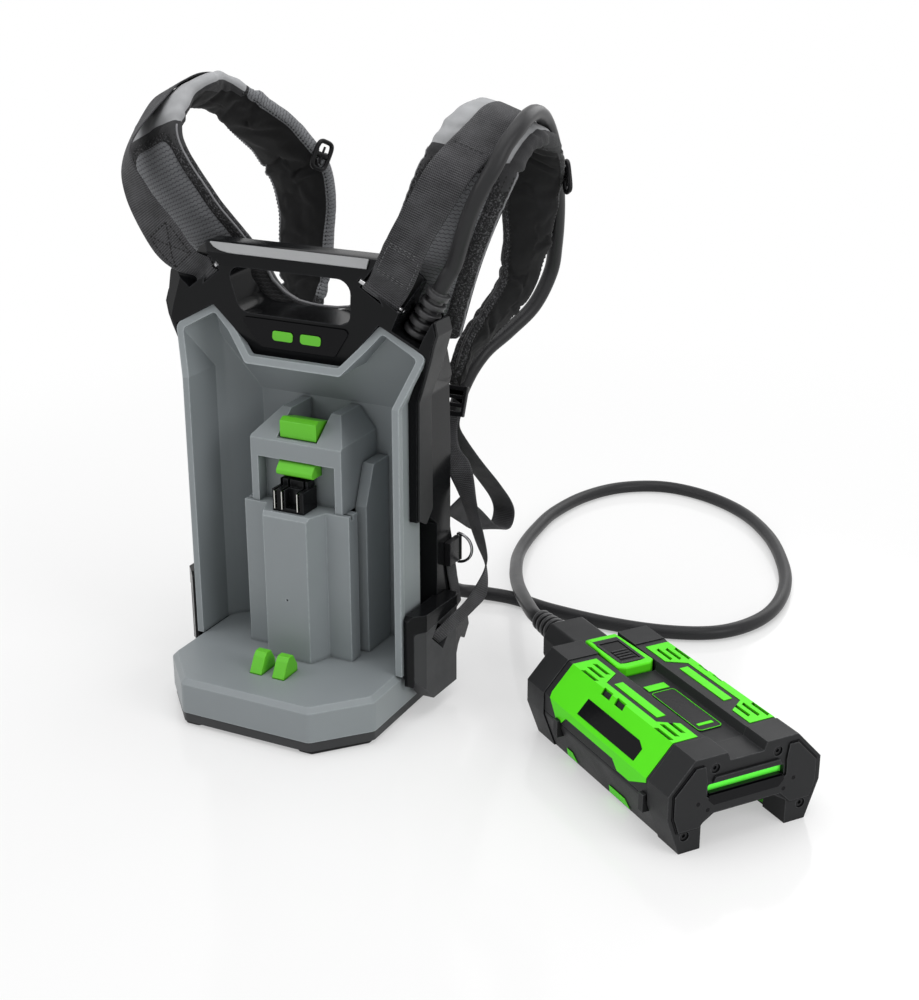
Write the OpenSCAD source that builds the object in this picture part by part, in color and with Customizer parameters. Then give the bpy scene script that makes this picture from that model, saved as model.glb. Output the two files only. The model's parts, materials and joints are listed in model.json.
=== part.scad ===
// Backpack battery carrier with a corded battery-shaped adapter.
// X runs across the wearer's back, Y from the battery bay to the wearer, Z up from the floor.
// Every piece is drawn with Y = 0 at the front edge of the tub's side walls, then set_home()
// moves the carrier so that the middle of its footprint lies at the origin.

/* [Base] */
// Height of the deck that the battery stands on
deck_z = 49; // [44:1:60]
// Height of the seam between the grey skirt and the dark pan
seam_z = 14; // [12:1:18]
// Half width of the base
base_half = 114; // [108:1:116]
// Half width of the straight front edge
nose_half = 70; // [55:1:85]
// How far the base reaches in front of the tub
base_front = 97; // [85:1:110]
// How far the cut front corners run back
corner_run = 48; // [35:1:55]
// How far the base reaches behind the tub's front edge
base_back = 99; // [99:1:106]
// Slope around the top of the deck
deck_chamfer = 5; // [2:0.5:7]
// Wall of the base mouldings
base_wall = 3.5; // [2.5:0.5:5]
// Height of the rubber feet
foot_h = 4; // [3:0.5:6]

/* [Tub] */
// Half width of the tub over its rim
tub_half = 117; // [116:0.5:119]
// Depth from the front edge of the side walls to the back wall
bay_depth = 79; // [74:1:84]
// Wall of the tub
tub_wall = 3.5; // [2.5:0.5:4.5]
// Width of the rolled rim
rim_w = 7; // [5:0.5:9]
// How far the rim stands out of the wall
rim_lip = 3; // [2:0.5:4]
// Height where the rim starts to flare
kink_z = 316; // [300:1:330]
// Half width across the ears
ear_half = 135; // [128:1:140]
// Height of the outer corner of the ears
ear_z = 363; // [355:1:370]
// Height of the peaks of the ears
peak_z = 388; // [380:1:396]
// Distance of the peaks from the centre
peak_x = 89; // [82:1:96]
// Half width of the notch between the ears
notch_half = 48; // [40:1:56]
// Height of the bottom of the notch
notch_z = 344; // [335:1:352]

/* [Frame] */
// Height of the top of the handle
handle_z = 450; // [446:1:460]
// Half width of the top of the handle
handle_half = 90; // [84:1:96]
// Thickness of the handle bar from top to bottom
handle_t = 21; // [18:1:24]
// Half width of the hand opening
grip_half = 66; // [58:1:70]
// Height of the bottom of the hand opening
grip_low_z = 384; // [382:1:390]
// Half width across the shoulders
shoulder_half = 144; // [140:1:148]
// Gap between mouldings that fit over each other
fit = 0.4; // [0.3:0.05:0.6]
// Thickness of the frame behind the tub
frame_wall = 11; // [9:1:14]

/* [Dock] */
// Height of the top of the dock column
column_z = 200; // [185:1:205]
// Half width of the column's front face
column_half = 24; // [20:1:28]
// Half width of the column's side flanges
flange_half = 58; // [54:1:62]
// Height of the dock head's front edge
head_z = 264; // [260:1:268]
// Half width of the dock head
head_half = 50; // [46:1:50]
// Height of the dock head's ears
head_ear_z = 288; // [284:1:294]
// Half width of the release button and latch
key_half = 20; // [16:1:20]
// Travel of the release button
button_travel = 5; // [3:0.5:5]
// Travel of the battery latch
latch_travel = 8; // [6:0.5:10]
// Height of the guide rails
rail_z = 241; // [230:1:250]
// Width of a guide rail
rail_w = 12; // [10:1:16]
// Height of the ejectors above the deck
ejector_h = 19; // [15:1:22]
// Width of an ejector
ejector_w = 13; // [10:1:14]
// Travel of an ejector
ejector_travel = 12; // [8:1:13]

/* [Straps] */
// Width of the shoulder pads
pad_w = 88; // [76:1:92]
// Thickness of the shoulder pads
pad_t = 17; // [12:1:20]
// Width of the wide webbing
wide_web = 50; // [44:1:54]
// Width of the narrow webbing
narrow_web = 25; // [20:1:30]
// Thickness of the webbing
web_t = 1.8; // [1.2:0.2:2.4]
// Diameter of the bars that hold the wide webbing
bar_d = 5; // [4:0.5:6]
// Thickness of the back pad
back_pad_t = 15; // [10:1:20]
// Wire diameter of the D-rings
ring_wire = 3; // [2.5:0.25:4]
// Height of the D-rings
ring_h = 30; // [26:1:34]

/* [Cable] */
// Diameter of the power cable
cable_d = 15; // [12:0.5:16]
// Ribs on each strain relief
relief_ribs = 5; // [4:1:7]

/* [Adapter] */
// Length of the adapter body
adapter_l = 240; // [225:1:250]
// Half width of the adapter body
adapter_half = 77; // [72:1:80]
// Height of the adapter body
adapter_h = 85; // [80:1:90]
// Length of each end cap
cap_l = 31; // [26:1:36]
// Half width of the channel under the adapter
channel_half = 45; // [42:1:48]
// Height of the channel under the adapter
channel_h = 34; // [28:1:36]
// Half width of the trough along the top
trough_half = 18; // [16:1:22]
// Depth of the trough along the top
trough_depth = 8; // [5:0.5:9]
// Travel of the thumb button
thumb_travel = 2.5; // [1.5:0.5:3]

/* [Hidden] */

shell_grey = "#7f868b";
gloss_black = "#17181a";
dark_grey = "#3a3c3e";
lime = "#5fd12a";
steel = "#b9bcc0";
cloth_grey = "#8d9094";
web_black = "#2b2c2e";

soft_gap = 0.3;             // clearance between soft pieces and what carries them
slip = 0.3;                 // clearance beside a sliding key
home_y = 86.5;                // middle of the footprint, measured from the tub's front edge
big = 400;                  // longer than any piece

// ---- plain helpers ----
function unit(v) = v / norm(v);
function last(v) = v[len(v) - 1];
function flip(pts) = [for (i = [len(pts) - 1:-1:0]) [-pts[i][0], pts[i][1]]];
function both(half) = concat(half, flip(half));
function next(pts, i) = pts[(i + 1) % len(pts)];
function prev(pts, i) = pts[(i + len(pts) - 1) % len(pts)];
function left_of(a, b) = let (d = unit(b - a)) [-d[1], d[0]];

// Outline moved inwards by d, for points in anticlockwise order
function inset(pts, d) = [for (i = [0:len(pts) - 1])
    let (n1 = left_of(prev(pts, i), pts[i]), n2 = left_of(pts[i], next(pts, i)))
    pts[i] + (n1 + n2) * d / (1 + n1 * n2)];

// One corner as a tangent arc of n steps
function corner(a, p, b, r, n) =
    let (u = unit(a - p), v = unit(b - p), half = acos(u * v) / 2,
        t = min(r / tan(half), 0.45 * min(norm(a - p), norm(b - p))), arc_r = t * tan(half),
        c = p + unit(u + v) * arc_r / sin(half), s = p + u * t - c, e = p + v * t - c,
        a0 = atan2(s[1], s[0]), sweep = (atan2(e[1], e[0]) - a0 + 540) % 360 - 180)
    [for (i = [0:n]) c + arc_r * [cos(a0 + sweep * i / n), sin(a0 + sweep * i / n)]];
function rounded(pts, r, n = 4) = [for (i = [0:len(pts) - 1])
    each corner(prev(pts, i), pts[i], next(pts, i), r, n)];

// Smooth curve through hand-chosen points, at t from 0 to 1
function spline(p, t) =
    let (m = len(p) - 1, s = t * m, k = min(floor(s), m - 1), u = s - k,
        a = p[max(k - 1, 0)], b = p[k], c = p[k + 1], d = p[min(k + 2, m)])
    0.5 * (2 * b + (c - a) * u + (2 * a - 5 * b + 4 * c - d) * u * u
        + (3 * b - a - 3 * c + d) * u * u * u);
function curve(p, n) = [for (i = [0:n]) spline(p, i / n)];
function tangent(p, i) = unit(p[min(i + 1, len(p) - 1)] - p[max(i - 1, 0)]);
function mirror_x(p) = [for (q = p) [-q[0], q[1], q[2]]];

// Solid through equal rings of points; the rings run anticlockwise seen from the last one
module skin(rings) {
    m = len(rings[0]);
    n = len(rings);
    sides = [for (i = [0:n - 2], j = [0:m - 1])
        let (a = i * m + j, b = (i + 1) * m + j, c = (i + 1) * m + (j + 1) % m, d = i * m + (j + 1) % m)
        each [[a, b, c], [a, c, d]]];
    start = [for (j = [1:m - 2]) [0, j, j + 1]];
    end = [for (j = [1:m - 2]) [(n - 1) * m, (n - 1) * m + j + 1, (n - 1) * m + j]];
    polyhedron(points = [for (r = rings) each r], faces = concat(sides, start, end), convexity = 8);
}

// Tube of radius r along a path; lean keeps the rings from spinning
module tube(path, r, sides = 8, lean = [-0.5, -0.6, 0.62]) {
    skin([for (i = [0:len(path) - 1])
        let (t = tangent(path, i), u = unit(cross(lean, t)), v = cross(t, u))
        [for (j = [0:sides - 1]) path[i] + r * (cos(360 * j / sides) * u + sin(360 * j / sides) * v)]]);
}

// Band along a path: w is the half width at each point, section holds [share of w, height] pairs
function band_ring(c, t, w, section) =
    let (n = unit(cross(t, w))) [for (s = section) c + s[0] * w + s[1] * n];
module band(path, w, section) {
    skin([for (i = [0:len(path) - 1]) band_ring(path[i], tangent(path, i), w[i], section)]);
}
function flat_section(t) = [[-1, -t / 2], [1, -t / 2], [1, t / 2], [-1, t / 2]];
function crowned_section(t, n = 14) = [for (i = [0:n - 1])
    let (a = 360 * (i + 0.5) / n, c = cos(a), s = sin(a))
    [sign(c) * pow(abs(c), 0.55), sign(s) * pow(abs(s), 0.75) * t / 2]];

// Extrusions whose outlines are drawn in the XZ, YZ and XY planes
module along_y(y0, y1) {
    translate([0, y1, 0]) rotate([90, 0, 0]) linear_extrude(y1 - y0) children();
}
module along_x(x0, x1) {
    translate([x0, 0, 0]) rotate([90, 0, 90]) linear_extrude(x1 - x0) children();
}
module along_z(z0, z1) {
    translate([0, 0, z0]) linear_extrude(z1 - z0) children();
}
module block(low, high) {
    translate(low) cube(high - low);
}
module set_home() {
    translate([0, -home_y, 0]) children();
}
module sides() {
    children();
    mirror([1, 0, 0]) children();
}
module one_side(side) {
    mirror([side < 0 ? 1 : 0, 0, 0]) children();
}

// Coil spring standing on z0, made as one unbroken wire
module spring(r, wire, z0, z1, turns) {
    steps = turns * 8;
    tube([for (i = [0:steps]) let (a = 360 * i * turns / steps)
        [r * cos(a), r * sin(a), z0 + wire / 2 + (z1 - z0 - wire) * i / steps]], wire / 2, 6,
            [0.02, 0.01, 1]);
}

// Pan head screw with its head's top at the origin, pointing down -Z
module screw(head_r, shank_r, length) {
    head_h = head_r * 0.7;
    difference() {
        union() {
            translate([0, 0, -head_h]) cylinder(r = head_r, h = head_h, $fn = 32);
            translate([0, 0, -length]) cylinder(r = shank_r, h = length - head_h + 0.1, $fn = 24);
        }
        translate([0, 0, -head_h * 0.5]) cylinder(r = head_r * 0.5, h = head_h, $fn = 6);
    }
}

// ---- base ----
base_outline = both([[nose_half, -base_front], [base_half, -base_front + corner_run],
    [base_half, base_back]]);
ejector_x = ejector_w / 2 + 6;
ejector_y0 = -56;
ejector_y1 = -30;
boss_r = 5.5;
screw_r = 2;
boss_at = [[-94, -34], [94, -34], [-94, 78], [94, 78]];
pan_floor = 5;

module at_bosses() {
    for (p = boss_at) translate([p[0], p[1], 0]) children();
}

module base_housing() color(shell_grey) set_home() {
    difference() {
        hull() {
            along_z(seam_z, deck_z - deck_chamfer) polygon(rounded(base_outline, 9, 5));
            along_z(seam_z, deck_z) polygon(rounded(inset(base_outline, deck_chamfer), 7, 5));
        }
        along_z(seam_z - 1, deck_z - base_wall) polygon(rounded(inset(base_outline, base_wall), 6));
        for (s = [-1, 1]) translate([s * ejector_x, 0, 0]) block(
            [-ejector_w / 2 - slip, ejector_y0 - slip, deck_z - base_wall - 1],
            [ejector_w / 2 + slip, ejector_y1 + slip, deck_z + 1]);
        block([-12, 30, deck_z - base_wall - 1], [12, 60, deck_z + 1]);
    }
    at_bosses() difference() {
        translate([0, 0, foot_h + pan_floor])
            cylinder(r = boss_r, h = deck_z - base_wall - foot_h - pan_floor, $fn = 40);
        translate([0, 0, 0]) cylinder(r = screw_r - 0.25, h = foot_h + pan_floor + 14, $fn = 24);
    }
}

module base_pan() color(dark_grey) set_home() {
    pan_outline = inset(base_outline, 1.5);
    difference() {
        along_z(foot_h, seam_z) polygon(rounded(pan_outline, 8, 5));
        along_z(foot_h + pan_floor, seam_z + 1) polygon(rounded(inset(pan_outline, base_wall), 6));
        at_bosses() cylinder(r = screw_r + 0.3, h = seam_z, $fn = 24);
        at_bosses() translate([0, 0, foot_h - 1]) cylinder(r = 4.4, h = 4.2, $fn = 32);
        for (x = [-60:20:60]) block([x - 3, 10, 0], [x + 3, 60, seam_z]);
    }
    for (s = [-1, 1]) translate([s * ejector_x, (ejector_y0 + ejector_y1) / 2, foot_h + pan_floor])
        cylinder(r = 2.6, h = 9, $fn = 24);
}

// Feet that follow the cut corners at the front and the square corners at the back
foot_front = [[nose_half - 16, -base_front + 5], [nose_half, -base_front + 5],
    [base_half - 6, -base_front + corner_run], [base_half - 6, -base_front + corner_run + 12],
    [base_half - 16, -base_front + corner_run + 12], [nose_half - 16, -base_front + 17]];
foot_back = [[base_half - 34, base_back - 20], [base_half - 6, base_back - 20],
    [base_half - 6, base_back - 5], [base_half - 34, base_back - 5]];
module rubber_feet() color("#222325") set_home() sides() {
    along_z(0, foot_h) polygon(rounded(foot_front, 4));
    along_z(0, foot_h) polygon(rounded(foot_back, 4));
}

module case_screws() color(steel) set_home() {
    at_bosses() translate([0, 0, foot_h + 0.3]) mirror([0, 0, 1]) screw(4, screw_r - 0.3, 15);
    for (p = frame_screw_at) translate([p[0], bay_back + frame_wall - 1.2, p[1]])
        rotate([-90, 0, 0]) screw(4, screw_r - 0.3, 12);
}

// ---- tub ----
tub_low = deck_z - 20;       // the outline runs on below the deck and is trimmed there
tub_outline = both([[tub_half, tub_low], [tub_half, kink_z], [ear_half, ear_z], [peak_x, peak_z],
    [notch_half, notch_z]]);
bay_back = bay_depth + tub_wall;
ear_lean = 20;              // how far the ears lie behind the wall's front edge
ear_depth = 46;             // back of the bay at the top of the ears
slope_z = 290;              // height where the back wall starts to lean forward
back_flank = 78;            // half width of the flat back wall

// Front edge of the tub seen from the side, pushed back by d
function front_edge(d) = [[d, tub_low], [d, kink_z], [ear_lean + d, ear_z],
    [ear_lean + 1 + d, peak_z + 5]];
function bay_profile(d) = concat([[ear_depth + d, peak_z + 5], [ear_depth + 6 + d, notch_z + 6],
    [bay_depth + d, slope_z], [bay_depth + d, tub_low]], front_edge(-big / 10));
function bay_plan(d) = [[-160 - d, -40], [160 + d, -40], [112 + d, 42], [104 + d, 56],
    [back_flank + d, bay_depth + d], [-back_flank - d, bay_depth + d], [-104 - d, 56], [-112 - d, 42]];

// The tub's outside, grown by g so that the frame can be cut to fit round it
module tub_body(g = 0) intersection() {
    along_y(-10, big) polygon(inset(tub_outline, rim_lip - g));
    along_x(-big, big) polygon(concat(front_edge(-g), [[ear_depth + tub_wall + g, peak_z + 5],
        [ear_depth + 6 + tub_wall + g, notch_z + 6], [bay_back + g, slope_z],
            [bay_back + g, tub_low]]));
    along_z(deck_z - 10 * g, big * 2) polygon(bay_plan(tub_wall + g));
}

module front_shell() color(shell_grey) set_home() difference() {
    union() {
        tub_body();
        intersection() {
            along_y(-10, big) polygon(rounded(tub_outline, 6));
            along_x(-big, big) polygon(concat(front_edge(0),
                [for (i = [3:-1:0]) front_edge(rim_w)[i]]));
            block([-big, -big, deck_z], [big, big, big * 2]);
        }
    }
    intersection() {
        along_y(-20, big) polygon(rounded(inset(tub_outline, rim_w), 4));
        along_x(-big, big) polygon(bay_profile(0));
        along_z(0, big * 2) polygon(bay_plan(0));
    }
    for (p = frame_screw_at) translate([p[0], bay_depth - 2, p[1]]) rotate([-90, 0, 0])
        cylinder(r = screw_r - 0.1, h = 20, $fn = 24);
}

// ---- frame ----
frame_back = bay_back + fit + frame_wall;
hip_back = frame_back + 16;   // the frame swells towards the hips
frame_screw_at = [[-70, 120], [70, 120], [-70, 250], [70, 250]];
frame_outline = both([[tub_half + 4, deck_z + fit], [tub_half + 6, 318], [shoulder_half - 6, 362],
    [shoulder_half, 384],
    [shoulder_half - 8, 416], [handle_half + 26, handle_z - 14], [handle_half, handle_z]]);
bar_centre = [92.5, 17, 416];
bar_dip = 37;               // the bar's slope down to the outside
bar_sweep = 26.5;           // the bar's turn to the back
bar_l = 38;
lip_y = 17;                 // front face below the hand opening
grip_y = 8;                 // front face of the handle bar
cover_y0 = 25;
cover_y1 = 52;
cover_z0 = 200;
cover_z1 = 396;
gland_at = [114, 40, 376];
gland_lean = 28;
gland_back = 4;

// Along the strap bar: X along the bar, Z where the webbing leaves, Y through it
module at_bar() {
    translate(bar_centre) rotate([0, bar_dip, bar_sweep]) children();
}
module at_gland() {
    translate(gland_at) rotate([-gland_back, gland_lean, 0]) children();
}

module rear_frame() color(gloss_black) set_home() difference() {
    intersection() {
        along_y(-10, big) polygon(rounded(frame_outline, 9));
        along_x(-big, big) polygon([[66, deck_z + fit], [66, 184], [52, 196], [cover_y0 - 1, 200],
            [cover_y0 - 1, 330], [lip_y + 7, 342], [lip_y, grip_low_z], [grip_y, handle_z - handle_t],
            [grip_y, handle_z - 9.5], [grip_y + 5.5, handle_z - 1], [grip_y + 9, handle_z],
                [34, handle_z], [42, handle_z - 8],
            [46, handle_z - 40], [72, 376], [90, 323], [frame_back, 260], [frame_back, 172],
                [hip_back, 116],
            [hip_back, deck_z + fit]]);
        along_z(0, big * 2) polygon([[-handle_half - 4, 0], [handle_half + 4, 0],
            [shoulder_half + 2, 22],
            [shoulder_half + 4, 44], [tub_half + 10, 64], [tub_half + 10, big], [-tub_half - 10, big],
            [-tub_half - 10, 64], [-shoulder_half - 4, 44], [-shoulder_half - 2, 22]]);
    }
    tub_body(fit);
    intersection() {
        along_y(-10, big) polygon(inset(tub_outline, -fit));
        along_x(-big, big) polygon(concat(front_edge(-20),
            [for (i = [3:-1:0]) front_edge(rim_w + fit)[i]]));
    }
    along_y(-10, big) polygon(rounded(both([[grip_half - 7, grip_low_z],
        [grip_half, handle_z - handle_t]]), 12, 6));
    sides() at_bar() {
        block([-bar_l / 2 - 1.5, -5.6, -5.6], [bar_l / 2 + 1.5, 9, 60]);
        block([-bar_l / 2 - 2.5, -40, -1], [bar_l / 2 + 2.5, 9, 60]);
        translate([-bar_l / 2 - 6, 0, 0]) rotate([0, 90, 0])
            cylinder(d = bar_d + 0.1, h = bar_l + 12, $fn = 32);
    }
    at_gland() block([-15, -60, 0], [15, 15, 90]);
    for (p = frame_screw_at) translate([p[0], bay_back - 5, p[1]]) rotate([-90, 0, 0]) {
        cylinder(r = screw_r, h = 60, $fn = 24);
        translate([0, 0, 5 + frame_wall - 4.4]) cylinder(r = 4.4, h = 40, $fn = 32);
    }
    block([-60, bay_back - 2, 200], [60, bay_back + 5, 310]);
}

// Matt covers over the sides of the frame
module side_covers() color(dark_grey) set_home() sides() intersection() {
    difference() {
        along_y(cover_y0 - 14, cover_y1) polygon(inset(frame_outline, -2.6));
        along_y(-10, big) polygon(inset(frame_outline, -0.15));
    }
    along_x(tub_half, shoulder_half + 20) polygon(rounded([[cover_y0, 326], [cover_y0, cover_z0 + 2],
        [cover_y0 + 14, cover_z0 - 6], [cover_y1, cover_z0 + 6], [cover_y1 - 3, 325],
            [cover_y1 - 2, cover_z1],
        [cover_y0 - 2, cover_z1], [cover_y0 - 5, 372]], 2, 3));
}

module handle_grip() color("#a4a7aa") set_home() {
    along_x(-handle_half + 8, handle_half - 8)
        polygon([[grip_y + 0.28, handle_z - 8.96], [grip_y + 5.12, handle_z - 1.48],
        [grip_y + 4.16, handle_z - 0.86], [grip_y - 0.68, handle_z - 8.34]]);
}

plate_low = 351;
plate_high = 380;
function face_y(z) = lip_y + 7 * (grip_low_z - z) / (grip_low_z - 342);
module name_plate() color("#0d0d0f") set_home() intersection() {
    along_y(-10, 100) polygon(rounded(both([[notch_half - 8, plate_low],
        [notch_half + 12, plate_high]]), 4));
    along_x(-big, big) polygon([[face_y(340), 340], [face_y(390), 390], [face_y(390) - 1.5, 390],
        [face_y(340) - 1.5, 340]]);
}
module name_marks() color(lime) set_home() intersection() {
    along_y(-10, 100) for (x = [-26, 4]) translate([x, 0])
        polygon(rounded([[0, 360], [22, 360], [24, 370], [2, 370]], 3));
    along_x(-big, big) polygon([[face_y(340) - 1.5, 340], [face_y(390) - 1.5, 390],
        [face_y(390) - 2.6, 390], [face_y(340) - 2.6, 340]]);
}

// ---- dock ----
column_front = -14;
column_wall = 3.5;
flange_y0 = 8;
flange_y1 = 24;
column_plan = both([[column_half, column_front], [column_half + 9, flange_y0], [flange_half, flange_y0],
    [flange_half, flange_y1], [column_half + 3, flange_y1], [column_half + 3, bay_depth]]);
head_front = 10;
head_recess = 24;
key_z = head_z + 2;         // underside of the release button at rest
pocket_z = key_z - button_travel - 2;
button_y0 = 16;
button_y1 = 44;
latch_z0 = 231;
latch_z1 = 246;
latch_y0 = 6;
latch_y1 = 40;
button_spring_y = 34;
button_spring_z = latch_z1 + 4;

module dock_column() color(shell_grey) set_home() difference() {
    intersection() {
        along_z(deck_z, column_z) polygon(column_plan);
        along_x(-big, big) polygon([[column_front - 1, deck_z - 1], [column_front - 1, column_z - 5],
            [column_front + 4, column_z], [bay_depth, column_z], [bay_depth, deck_z - 1]]);
    }
    along_z(deck_z - 1, column_z - column_wall) polygon(inset(column_plan, column_wall));
    block([-8, 8, column_z - 10], [8, 16, column_z + 1]);
    sides() block([flange_half - 14, flange_y0 + 4, column_z - 5],
        [flange_half + 1, flange_y0 + 8, column_z + 1]);
    translate([0, column_front - 1, 112]) rotate([-90, 0, 0]) cylinder(r = 1.2, h = 8, $fn = 24);
}

module dock_head() color(shell_grey) set_home() difference() {
    intersection() {
        along_x(-head_half, head_half) polygon([[head_front, column_z], [head_front, head_z],
            [head_front + 32, head_ear_z], [bay_depth, head_ear_z], [bay_depth, column_z]]);
        along_y(0, bay_depth) polygon(both([[head_half, column_z], [head_half, head_z + 2],
            [head_half - 18, head_ear_z + 0.5]]));
    }
    along_x(-head_half + 8, head_half - 8)
        polygon([[0, column_z - 1], [0, head_z - 18], [head_recess - 4, head_z - 18],
        [head_recess, head_z - 24], [head_recess, column_z - 1]]);
    block([-key_half - 2, 0, head_z + 2], [key_half + 2, bay_depth + 1, head_ear_z + 1]);
    block([-key_half - slip, button_y0 - slip, pocket_z],
        [key_half + slip, button_y1 + slip, head_ear_z]);
    block([-key_half - slip, 0, latch_z0 - slip],
        [key_half + slip, latch_y1 + latch_travel + 1, latch_z1 + slip]);
    translate([0, button_spring_y, button_spring_z]) cylinder(r = 6.5, h = 20, $fn = 32);
    block([-16, 40, column_z - 1], [16, bay_depth + 1, column_z + 18]);
}

module guide_rail() along_x(head_half + 0.6, head_half + 0.6 + rail_w)
    polygon(rounded([[flange_y1 + 10, deck_z],
    [flange_y1 + 10, column_z + 2], [flange_y1 + 26, rail_z], [bay_depth, rail_z],
        [bay_depth, deck_z]], 0.8, 2));
module guide_rails() color(shell_grey) set_home() sides() guide_rail();

block_half = 17;
block_y0 = -6;
block_y1 = 19;
block_z = 222;
blade_x = [-14, -6, 11];
module terminal_block() color(gloss_black) set_home() difference() {
    union() {
        block([-block_half, block_y0, column_z], [block_half, block_y1, block_z]);
        block([-block_half + 2, 6, block_z - 1], [block_half - 2, block_y1, block_z + 7]);
    }
    for (x = blade_x) block([x - 0.8, block_y0 - 1, column_z + 3], [x + 1.8, 10, block_z + 9]);
    block([-3, block_y0 - 1, column_z + 4], [9, 2, block_z + 1]);
    block([-6.4, 8, column_z - 1], [6.4, 15, column_z + 2]);
}
module terminal_blades() color(steel) set_home() for (x = blade_x) {
    block([x, block_y0 - 2.5, column_z + 3], [x + 1, 10, block_z - 1]);
}

module release_button() color(lime) set_home() along_x(-key_half, key_half)
    polygon(rounded([[button_y0, key_z],
    [button_y0, key_z + 17], [button_y0 + 6, key_z + 20], [button_y1, key_z + 14],
        [button_y1, key_z]], 1, 2));
module button_spring() color(steel) set_home() translate([0, button_spring_y, 0])
    spring(5, 1.1, button_spring_z, key_z, 5);
module battery_latch() color(lime) set_home() along_x(-key_half, key_half)
    polygon([[latch_y0, latch_z0 + 2],
    [latch_y0 + 3, latch_z0], [latch_y1, latch_z0], [latch_y1, latch_z1], [latch_y0 + 8, latch_z1],
        [latch_y0, latch_z0 + 6]]);

// Ejector: a fin above the deck, its flange and spring seat below
module ejector() {
    top = deck_z + ejector_h;
    flange_z = deck_z - base_wall - 0.1;
    along_x(-ejector_w / 2, ejector_w / 2)
        polygon(rounded([[ejector_y0, flange_z - 2], [ejector_y0, deck_z + 1],
        [ejector_y0 + 8, top - 4], [ejector_y0 + 12, top], [ejector_y1 - 7, top],
            [ejector_y1, deck_z + 7],
        [ejector_y1, flange_z - 2]], 1.2, 2));
    block([-ejector_w / 2 - 1.5, ejector_y0 - 3, flange_z - 3],
        [ejector_w / 2 + 1.5, ejector_y1 + 3, flange_z]);
}
module ejector_left() color(lime) set_home() translate([-ejector_x, 0, 0]) ejector();
module ejector_right() color(lime) set_home() translate([ejector_x, 0, 0]) ejector();
module ejector_spring() translate([0, (ejector_y0 + ejector_y1) / 2, 0])
    spring(4.2, 1.2, foot_h + pan_floor, deck_z - base_wall - 3.1, 6);
module ejector_spring_left() color(steel) set_home() translate([-ejector_x, 0, 0]) ejector_spring();
module ejector_spring_right() color(steel) set_home() translate([ejector_x, 0, 0]) ejector_spring();

// ---- padding on the wearer's side ----
// Cushion with a crowned face, drawn-in sides and sewn channels at the given heights
module cushion(half_w, low, high, y0, t, channels, nx = 12, nz = 22) {
    function pull(v) = 1 - 0.05 * (1 - v * v);
    function dome(u, v) = pow(1 - pow(abs(u), 6), 0.5) * pow(1 - pow(abs(v), 8), 0.5);
    function seam(z) = 1 - 0.45 * max([for (c = channels) exp(-pow((z - c) / 4, 2))]);
    function point(i, j, back) =
        let (u = 2 * i / nx - 1, v = 2 * j / nz - 1, z = (low + high) / 2 + v * (high - low) / 2)
        [u * half_w * pull(v), y0 + (back ? 3 + (t - 3) * dome(u, v) * seam(z) : 0), z];
    row = nx + 1;
    size = row * (nz + 1);
    cells = [for (j = [0:nz - 1], i = [0:nx - 1]) j * row + i];
    rim = concat([for (i = [0:nx - 1]) i], [for (j = [0:nz - 1]) j * row + nx],
        [for (i = [nx:-1:1]) nz * row + i], [for (j = [nz:-1:1]) j * row]);
    polyhedron(
        points = [for (b = [false, true], j = [0:nz], i = [0:nx]) point(i, j, b)],
        faces = concat(
            [for (c = cells) each [[c, c + row, c + 1], [c + 1, c + row, c + row + 1]]],
            [for (c = cells) each [[size + c, size + c + 1, size + c + row],
                [size + c + 1, size + c + row + 1, size + c + row]]],
            [for (k = [0:len(rim) - 1]) let (a = rim[k], b = rim[(k + 1) % len(rim)])
                each [[a, b, size + b], [a, size + b, size + a]]]),
        convexity = 6);
}
module back_pad() color(web_black) set_home()
    cushion(88, 178, 302, frame_back + soft_gap, back_pad_t, [209, 240, 271]);
module lumbar_pad() color(web_black) set_home()
    cushion(98, 62, 112, hip_back + soft_gap, back_pad_t + 2, [87], 14, 10);

// Yoke that joins the straps: it follows the frame's leaning back and ends in a round neckline
yoke_outline = both([[84, 304], [97, 340], [98, 376], [93, 396], [64, 405], [48, 395], [28, 386],
    [10, 383]]);
module yoke_pad() color(web_black) set_home() intersection() {
    along_y(40, 120) polygon(rounded(yoke_outline, 8, 4));
    along_x(-big, big) polygon([[91.6, 303], [90.35, 323.1], [72.4, 376.3], [66.5, 387], [62, 436],
        [70, 436], [75, 392],
        [82, 378], [100, 324], [103, 303]]);
}

// ---- shoulder straps ----
// Middle of each pad from behind the handle, over the shoulder and down in front of the chest,
// with half of its width at each of those points
pad_left_mid = [[-92, 74, 412], [-110, 62, 440], [-136, 54, 472], [-167, 50, 522], [-169, 74, 556],
    [-158, 102, 569],
    [-152, 140, 566], [-142, 182, 545], [-139, 212, 510], [-133, 238, 473], [-130, 251, 438],
        [-130, 254, 396],
    [-127, 242, 356], [-124, 230, 332]];
pad_left_turn = [[34, -6, 10], [37, -8, 12], [37, -9, 15], [36, -10, 17], [36, -10, 17],
    [35, -13, 17], [28, -20, 18],
    [32, -19, 19], [35, -18, 18], [38, -13, 12], [38, -12, 10], [38, -12, 6], [35, -12, 2],
        [27, -8, 0]];
pad_right_mid = [[92, 74, 412], [110, 62, 440], [136, 55, 474], [158, 57, 524], [167, 78, 551],
    [172, 104, 561],
    [167, 145, 553], [160, 180, 524], [152, 205, 470], [144, 215, 420], [134, 203, 380],
        [120, 174, 354], [109, 154, 332],
    [103, 143, 305]];
pad_right_turn = [[34, 7, -5], [42, 9, -4], [43, 10, -3], [42, 8, -8], [39, 6, -13], [36, 5, -15],
    [35, 12, -18],
    [27, 23, -18], [16, 27, -8], [10, 27, -4], [4, 20, -12], [-4, 12, -18], [-5, 8, -15], [-4, 5, -12]];
pad_steps = 26;
function pad_width(turn) = [for (i = [0:pad_steps]) spline(turn, i / pad_steps) * pad_w / 88];
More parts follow.
